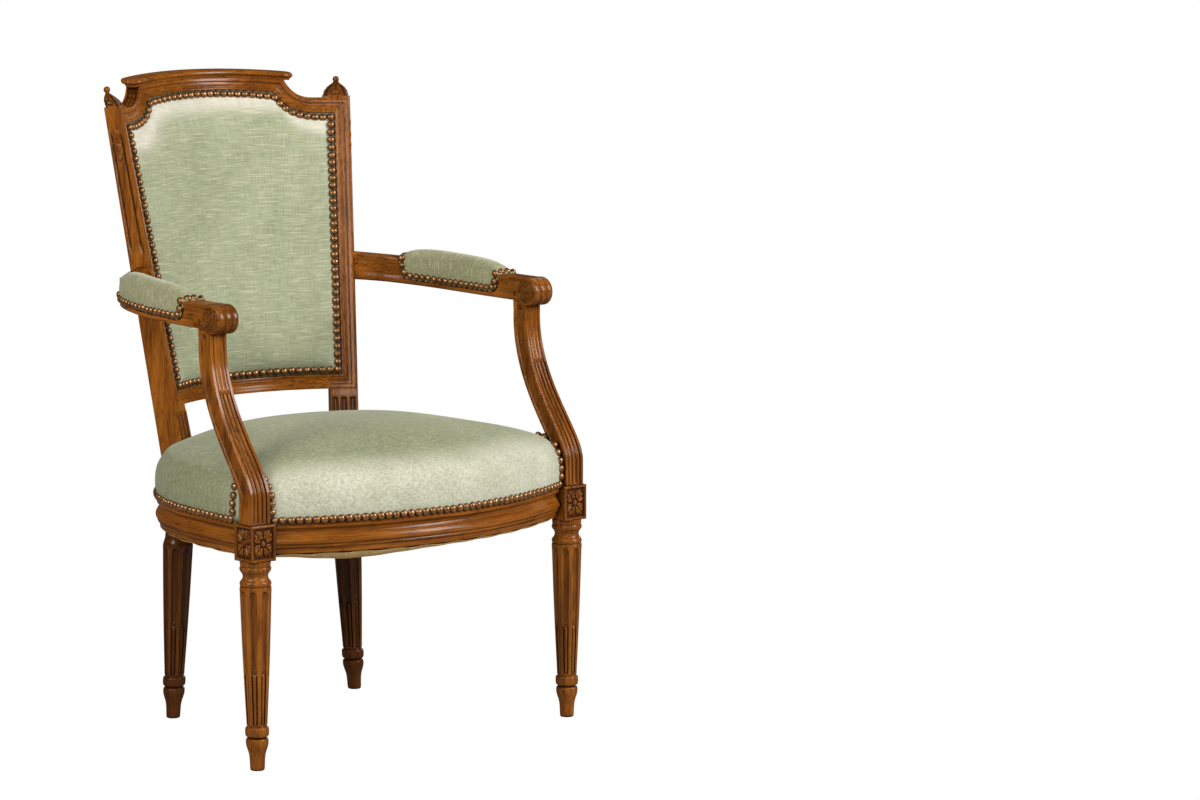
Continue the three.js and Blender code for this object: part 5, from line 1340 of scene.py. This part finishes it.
def back_pad_shape(nails):
    """The inside back: drawn in at its nailed rim and full in the middle, worn along its top and corner, and
    painted in shade at its rim.
    """
    cover = BackCover(120, 150, 0)
    z, side = cover.z, np.abs(cover.share)
    rim = np.minimum((1 - side) * 170, np.minimum(cover.row, 1 - cover.row) * 400)
    full = np.sqrt(np.clip((1 - side ** 4) * (1 - (2 * cover.row - 1) ** 4), 0, 1))
    near = 1 - np.exp(-np.clip(rim - 7.5, 0, None) / 9)
    points = cover.at(1.4 - (3.6 + 17 * full) * near - 1.2 * smooth(rim, 0, 3))
    edge = crest_edge(cover.share * 186)
    worn = (0.8 * smooth(z, edge - 46, edge - 12) + 0.75 * bump(cover.share, -0.86, 0.3) * bump(z, 850, 42)
            + 0.3 * smooth(side, 0.86, 0.98) * (z > 560)
            + 0.35 * smooth(side, 0.8, 0.97) * (1 - smooth(z, 500, 640)))
    # Painted shade along the nailed rim.
    wear_and_shade = np.clip(worn, 0, 0.95) * smooth(rim, 6, 10) - 0.9 * (1 - smooth(rim, 3, 8))
    pulled(points.reshape(-1, 3), nails, middle=np.array([0, 900, 700]), depth=0.9, width=4.6)
    return two_sided(points, cover.at(1.6), cover.weave, wear_and_shade)


# Arm pads

# The pad's outer side from the pocket's floor up: share of its half width, share of its height, swell
PAD_SIDE = rounded([(0.93, 0, 0), (0.97, 0.03, 0), (1, 0.12, 0.2), (1, 0.3, 0.9), (0.99, 0.5, 1),
                    (0.92, 0.75, 0.6), (0.7, 0.92, 0.2), (0.36, 0.99, 0), (0, 1.0, 0)])
PAD_RISE, PAD_SWELL = 16, 3
NAIL_INSET = 6.5


def arm_pad_shape(nails):
    """The stuffed pad in the arm's pocket, full in the middle and pulled in at its nails."""
    length = ARM.length
    start, end = POCKET_START + FABRIC_GAP / length, POCKET_END - FABRIC_GAP / length
    steps = (POCKET_ROUND - FABRIC_GAP) * (1 - np.cos(np.linspace(0, math.pi / 2, 12))) / length
    inner = (start + 20 / length, end - 20 / length, 44)
    share = np.unique(series(start + steps, inner, end - steps))[:, None]
    from_middle = np.abs(2 * share - start - end) / (end - start)
    full = np.sqrt(np.maximum(0, 1 - np.minimum(1, from_middle * 1.045) ** 3.2))
    wide, tall, swell = PAD_SIDE.T
    u = wide * arm_half(share) + PAD_SWELL * swell * full
    z = mix(pocket_floor(share, FABRIC_GAP), arm_top(share) + 2.4 + PAD_RISE * full, tall)
    u, z = np.concatenate([u, -u[:, -2::-1]], axis=1), np.concatenate([z, z[:, -2::-1]], axis=1)
    rows = beside_arm(share, u, z)
    weave = np.array([run_along(section) for section in stacked(u, z)])
    grain = stacked(weave - weave.mean(axis=1, keepdims=True), share * length, 0)
    pulled(rows.reshape(-1, 3), nails, middle=beside_arm(0.5, 0, 625), depth=0.8, width=4.2)
    return loft(rows, grain, 0.25 * smooth(rows[..., 2], 640, 656))


def arm_nails():
    """Round one arm pad: along both sides, up the ends of the pocket and across the top. The outer row
    starts part-way up its rear end."""
    length = ARM.length
    straight = np.linspace(POCKET_START + POCKET_ROUND / length, POCKET_END - POCKET_ROUND / length, 40)
    parts = []
    for way, first in ((1, 55), (-1, 0)):
        rear, front = np.radians(np.linspace(first, 90, 8)[:-1]), np.radians(np.linspace(90, 0, 8)[1:])
        share = series(POCKET_START + (POCKET_ROUND - PAD_END_ROUND * np.cos(rear)) / length, straight,
                       POCKET_END - (POCKET_ROUND - PAD_END_ROUND * np.cos(front)) / length)
        lower = series(np.sin(rear), np.ones(len(straight)), np.sin(front))
        z = arm_top(share) - (arm_height(share) - POCKET_FLOOR - NAIL_INSET) * lower
        line = beside_arm(share, way * (arm_half(share) + 0.3), z)
        facing = (beside_arm(share, way * 10, z) - beside_arm(share, 0, z)) / 10 + 0.12 * UP
        parts.append(resampled(line, facing, ARM_NAIL_PITCH))
    for share, lean in ((POCKET_START + 5.5 / length, -0.25), (POCKET_END - 5.5 / length, 0.25)):
        count = int((2 * arm_half(share) - 8) / PAD_END_PITCH)
        aside = (np.arange(count) - (count - 1) / 2) * PAD_END_PITCH
        _, along = ARM.at(share)
        parts.append((beside_arm(share, aside, arm_top(share) + 2.6), [UP + lean * along] * count))
    return tuple(np.concatenate(values) for values in zip(*parts))


# Under the seat

def under_cover():
    """The sagging cotton cloth under the seat, with ripples at its tacked rim: rings from the rim inward."""
    middle, outer = np.array([0, SEAT_MIDDLE]), seat_outline(10)
    ripple = 0.7 * np.sin(34 * circle(len(outer)))
    rows = []
    for inward in series(np.geomspace(0.004, 0.12, 14) - 0.004, (0.15, 0.96, 18)):
        x, y = (middle + (outer - middle) * (1 - inward)).T
        loose = 0.3 + 0.7 * bump(x, -150, 95) * smooth(-y, -20, 40)
        drop = 0.6 + 10.5 * loose * (1 - math.exp(-inward / 0.028)) + 6.5 * (1 - math.exp(-inward / 0.3))
        rows.append(stacked(x, y, RAIL_BOTTOM - 2.6 - drop + ripple * math.exp(-inward / 0.05)))
    return np.array(rows)


def leg_holes():
    """Cutters for the legs that pass the cotton cloth, on the left."""
    leg = [[(LEG_X + x, y, z) for x, y in ((-23, -24), (24, -24), (24, 24), (-23, 24))] for z in (280, 300)]
    across, behind = np.array([(-3, -3), (STILE_WIDTH + 3, -3), (STILE_WIDTH + 3, 37), (-3, 37)]).T
    return [loft(leg), loft([on_stile(across, behind, z) for z in (270, 300)])]


# Assembly

front_leg = leg_shape((LEG_X, 0), (LEG_X, 0, 290), NECK_ROWS)
WOOD_PAIRS = (
    ("turned_front_leg", "front_leg", together(front_leg, block_shape()), 38),
    ("rear_post_and_stile", "rear_post", rear_post_shape(), 38),
    ("arm_with_scroll", "arm", arm_shape(), 42),
    ("reeded_console", "arm_console", console_shape(), 38),
    ("moulded_side_rail", "side_seat_rail", side_rail_shape(), 38))
SIDES = ((LEFT, "left"), (RIGHT, "right"))

for side, hand in SIDES:
    for name, node, shape, sharp in WOOD_PAIRS:
        add(f"{name}_{hand}", shape.side(side), WOOD, f"{node}_{hand}", sharp)

add("bowed_front_rail", front_rail_shape(), WOOD, "front_seat_rail")
add("plain_rear_rail", rear_rail_shape(), WOOD, "rear_seat_rail")
add("moulded_lower_rail", lower_rail_shape(), WOOD, "lower_back_rail")
add("scooped_crest_rail", together(crest_shape(), cap_shape()), WOOD, "crest_rail")

points, facing = back_nails()
add("back_nails", nail_heads(points, facing, 11), BRONZE, sharp=60)
pad = add("back_cushion", back_pad_shape(points), VELVET_BACK, "back_pad", 60)

points, facing = seat_nails()
add("seat_nails", nail_heads(points, facing, 12), BRONZE, sharp=60)
shape = seat_shape(points)
seat = add("seat_upholstery", shape, VELVET_SEAT, "seat_cushion", 60)
cut_out(seat, shape, [c.side(s) for c in (console_cutter(), post_cutter()) for s in (LEFT, RIGHT)])

points, facing = arm_nails()
arm_pad = arm_pad_shape(points)
for side, hand in SIDES:
    nails = nail_heads(points, facing, 13 + side).side(side)
    add(f"arm_nails_{hand}", nails, BRONZE, sharp=60)
    pad = add(f"arm_cushion_{hand}", arm_pad.side(side), VELVET_ARM, f"arm_pad_{hand}", 60)

cover = BackCover(60, 80, 7)
thickness = thickness_at(cover.z)
inner, outer = cover.at(thickness + FABRIC_GAP), cover.at(thickness + 2)
cloth = add("outside_back_cover", two_sided(inner, outer, cover.weave), VELVET_BACK, "outside_back")

cover = BackCover(50, 70, 7)
inner, outer = cover.at(2.0), cover.at(3.2)
cloth = add("back_hessian", two_sided(inner, outer, cover.weave), JUTE, "back_webbing")

below = under_cover()
rings = np.concatenate([below[::-1], below + UP])[:, ::-1]
shape = loft(rings, rings * IN_PLAN)
cloth = add("under_seat_cotton", shape, COTTON, "dust_cover")
cut_out(cloth, shape, [c.side(s) for c in leg_holes() for s in (LEFT, RIGHT)])

for name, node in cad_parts.items():
    if not node.hide_render:
        node.data.materials.clear()
        node.data.materials.append(JUTE if "webbing" in name else WOOD)


# Stage: a pale floor, and soft light from large panels and the room

def white_to_camera(tree, surface, output, glow_kind):
    """Shows plain white to the camera, and the surface to all other rays."""
    nodes, link = tree.nodes, tree.links.new
    path, glow, mixed = (nodes.new(kind) for kind in ("ShaderNodeLightPath", glow_kind, "ShaderNodeMixShader"))
    glow.inputs["Color"].default_value = (1, 1, 1, 1)
    glow.inputs["Strength"].default_value = 1
    link(path.outputs["Is Camera Ray"], mixed.inputs[0])
    link(surface.outputs[0], mixed.inputs[1])
    link(glow.outputs[0], mixed.inputs[2])
    link(mixed.outputs[0], nodes[output].inputs["Surface"])


floor_mesh = bpy.data.meshes.new("floor")
floor_mesh.from_pydata([(-6, -6, 0), (6, -6, 0), (6, 6, 0), (-6, 6, 0)], [], [(0, 1, 2, 3)])
floor = linked("floor", floor_mesh)
paper = Paint("floor_paper", Base_Color=(0.34, 0.33, 0.31, 1), Roughness=0.9)
white_to_camera(paper.material.node_tree, paper.shader, "Material Output", "ShaderNodeEmission")
floor_mesh.materials.append(paper.material)

world = bpy.data.worlds.new("studio")
bpy.context.scene.world = world
world.use_nodes = True
room = world.node_tree.nodes["Background"]
room.inputs["Color"].default_value = (0.93, 0.96, 1, 1)
room.inputs["Strength"].default_value = 0.1
white_to_camera(world.node_tree, room, "World Output", "ShaderNodeBackground")

# The photograph's camera
eye = Vector((-3.5917, LINE - 4.62415, 1.265))
look = Vector((0.64191, 0.75531, -0.13208)).normalized()
camera_data = bpy.data.cameras.new("camera")
camera_data.sensor_width, camera_data.lens, camera_data.sensor_fit = 36, 127.23, "HORIZONTAL"
camera = linked("camera", camera_data)
camera.location = eye
camera.rotation_euler = look.to_track_quat("-Z", "Y").to_euler()
bpy.context.scene.camera = camera
bpy.context.scene.view_settings.view_transform = "Standard"

# Panels that face the chair's middle: how far to the camera's right, ahead of the chair's middle as the
# camera looks, and up, then width, height, power and colour
aside = Vector((look.y, -look.x, 0)).normalized()
ahead = Vector((look.x, look.y, 0)).normalized()
middle = Vector((0, 0, 0.5))
for name, right, away, up, width, height, power, colour in (
        ("key_panel", -2.1, -2.3, 1.7, 1.3, 1.3, 104, (1, 0.98, 0.95)),
        ("front_panel", 0, -3.2, 1.1, 1.4, 0.9, 45, (1, 1, 1)),
        ("rear_panel", 1.6, 3.0, 1.2, 2.2, 2.2, 40, (1, 1, 1)),
        ("fill_panel", 2.9, -0.9, 1.5, 1.1, 1.7, 152, (1, 1, 1)),
        ("top_panel", 0, -0.6, 2.6, 2.0, 2.0, 5, (1, 1, 1))):
    light = bpy.data.lights.new(name, "AREA")
    light.shape, light.size, light.size_y, light.energy, light.color = "RECTANGLE", width, height, power, colour
    panel = linked(name, light)
    panel.location = middle + aside * right + ahead * away + Vector((0, 0, up))
    panel.rotation_euler = (middle - panel.location).to_track_quat("-Z", "Y").to_euler()
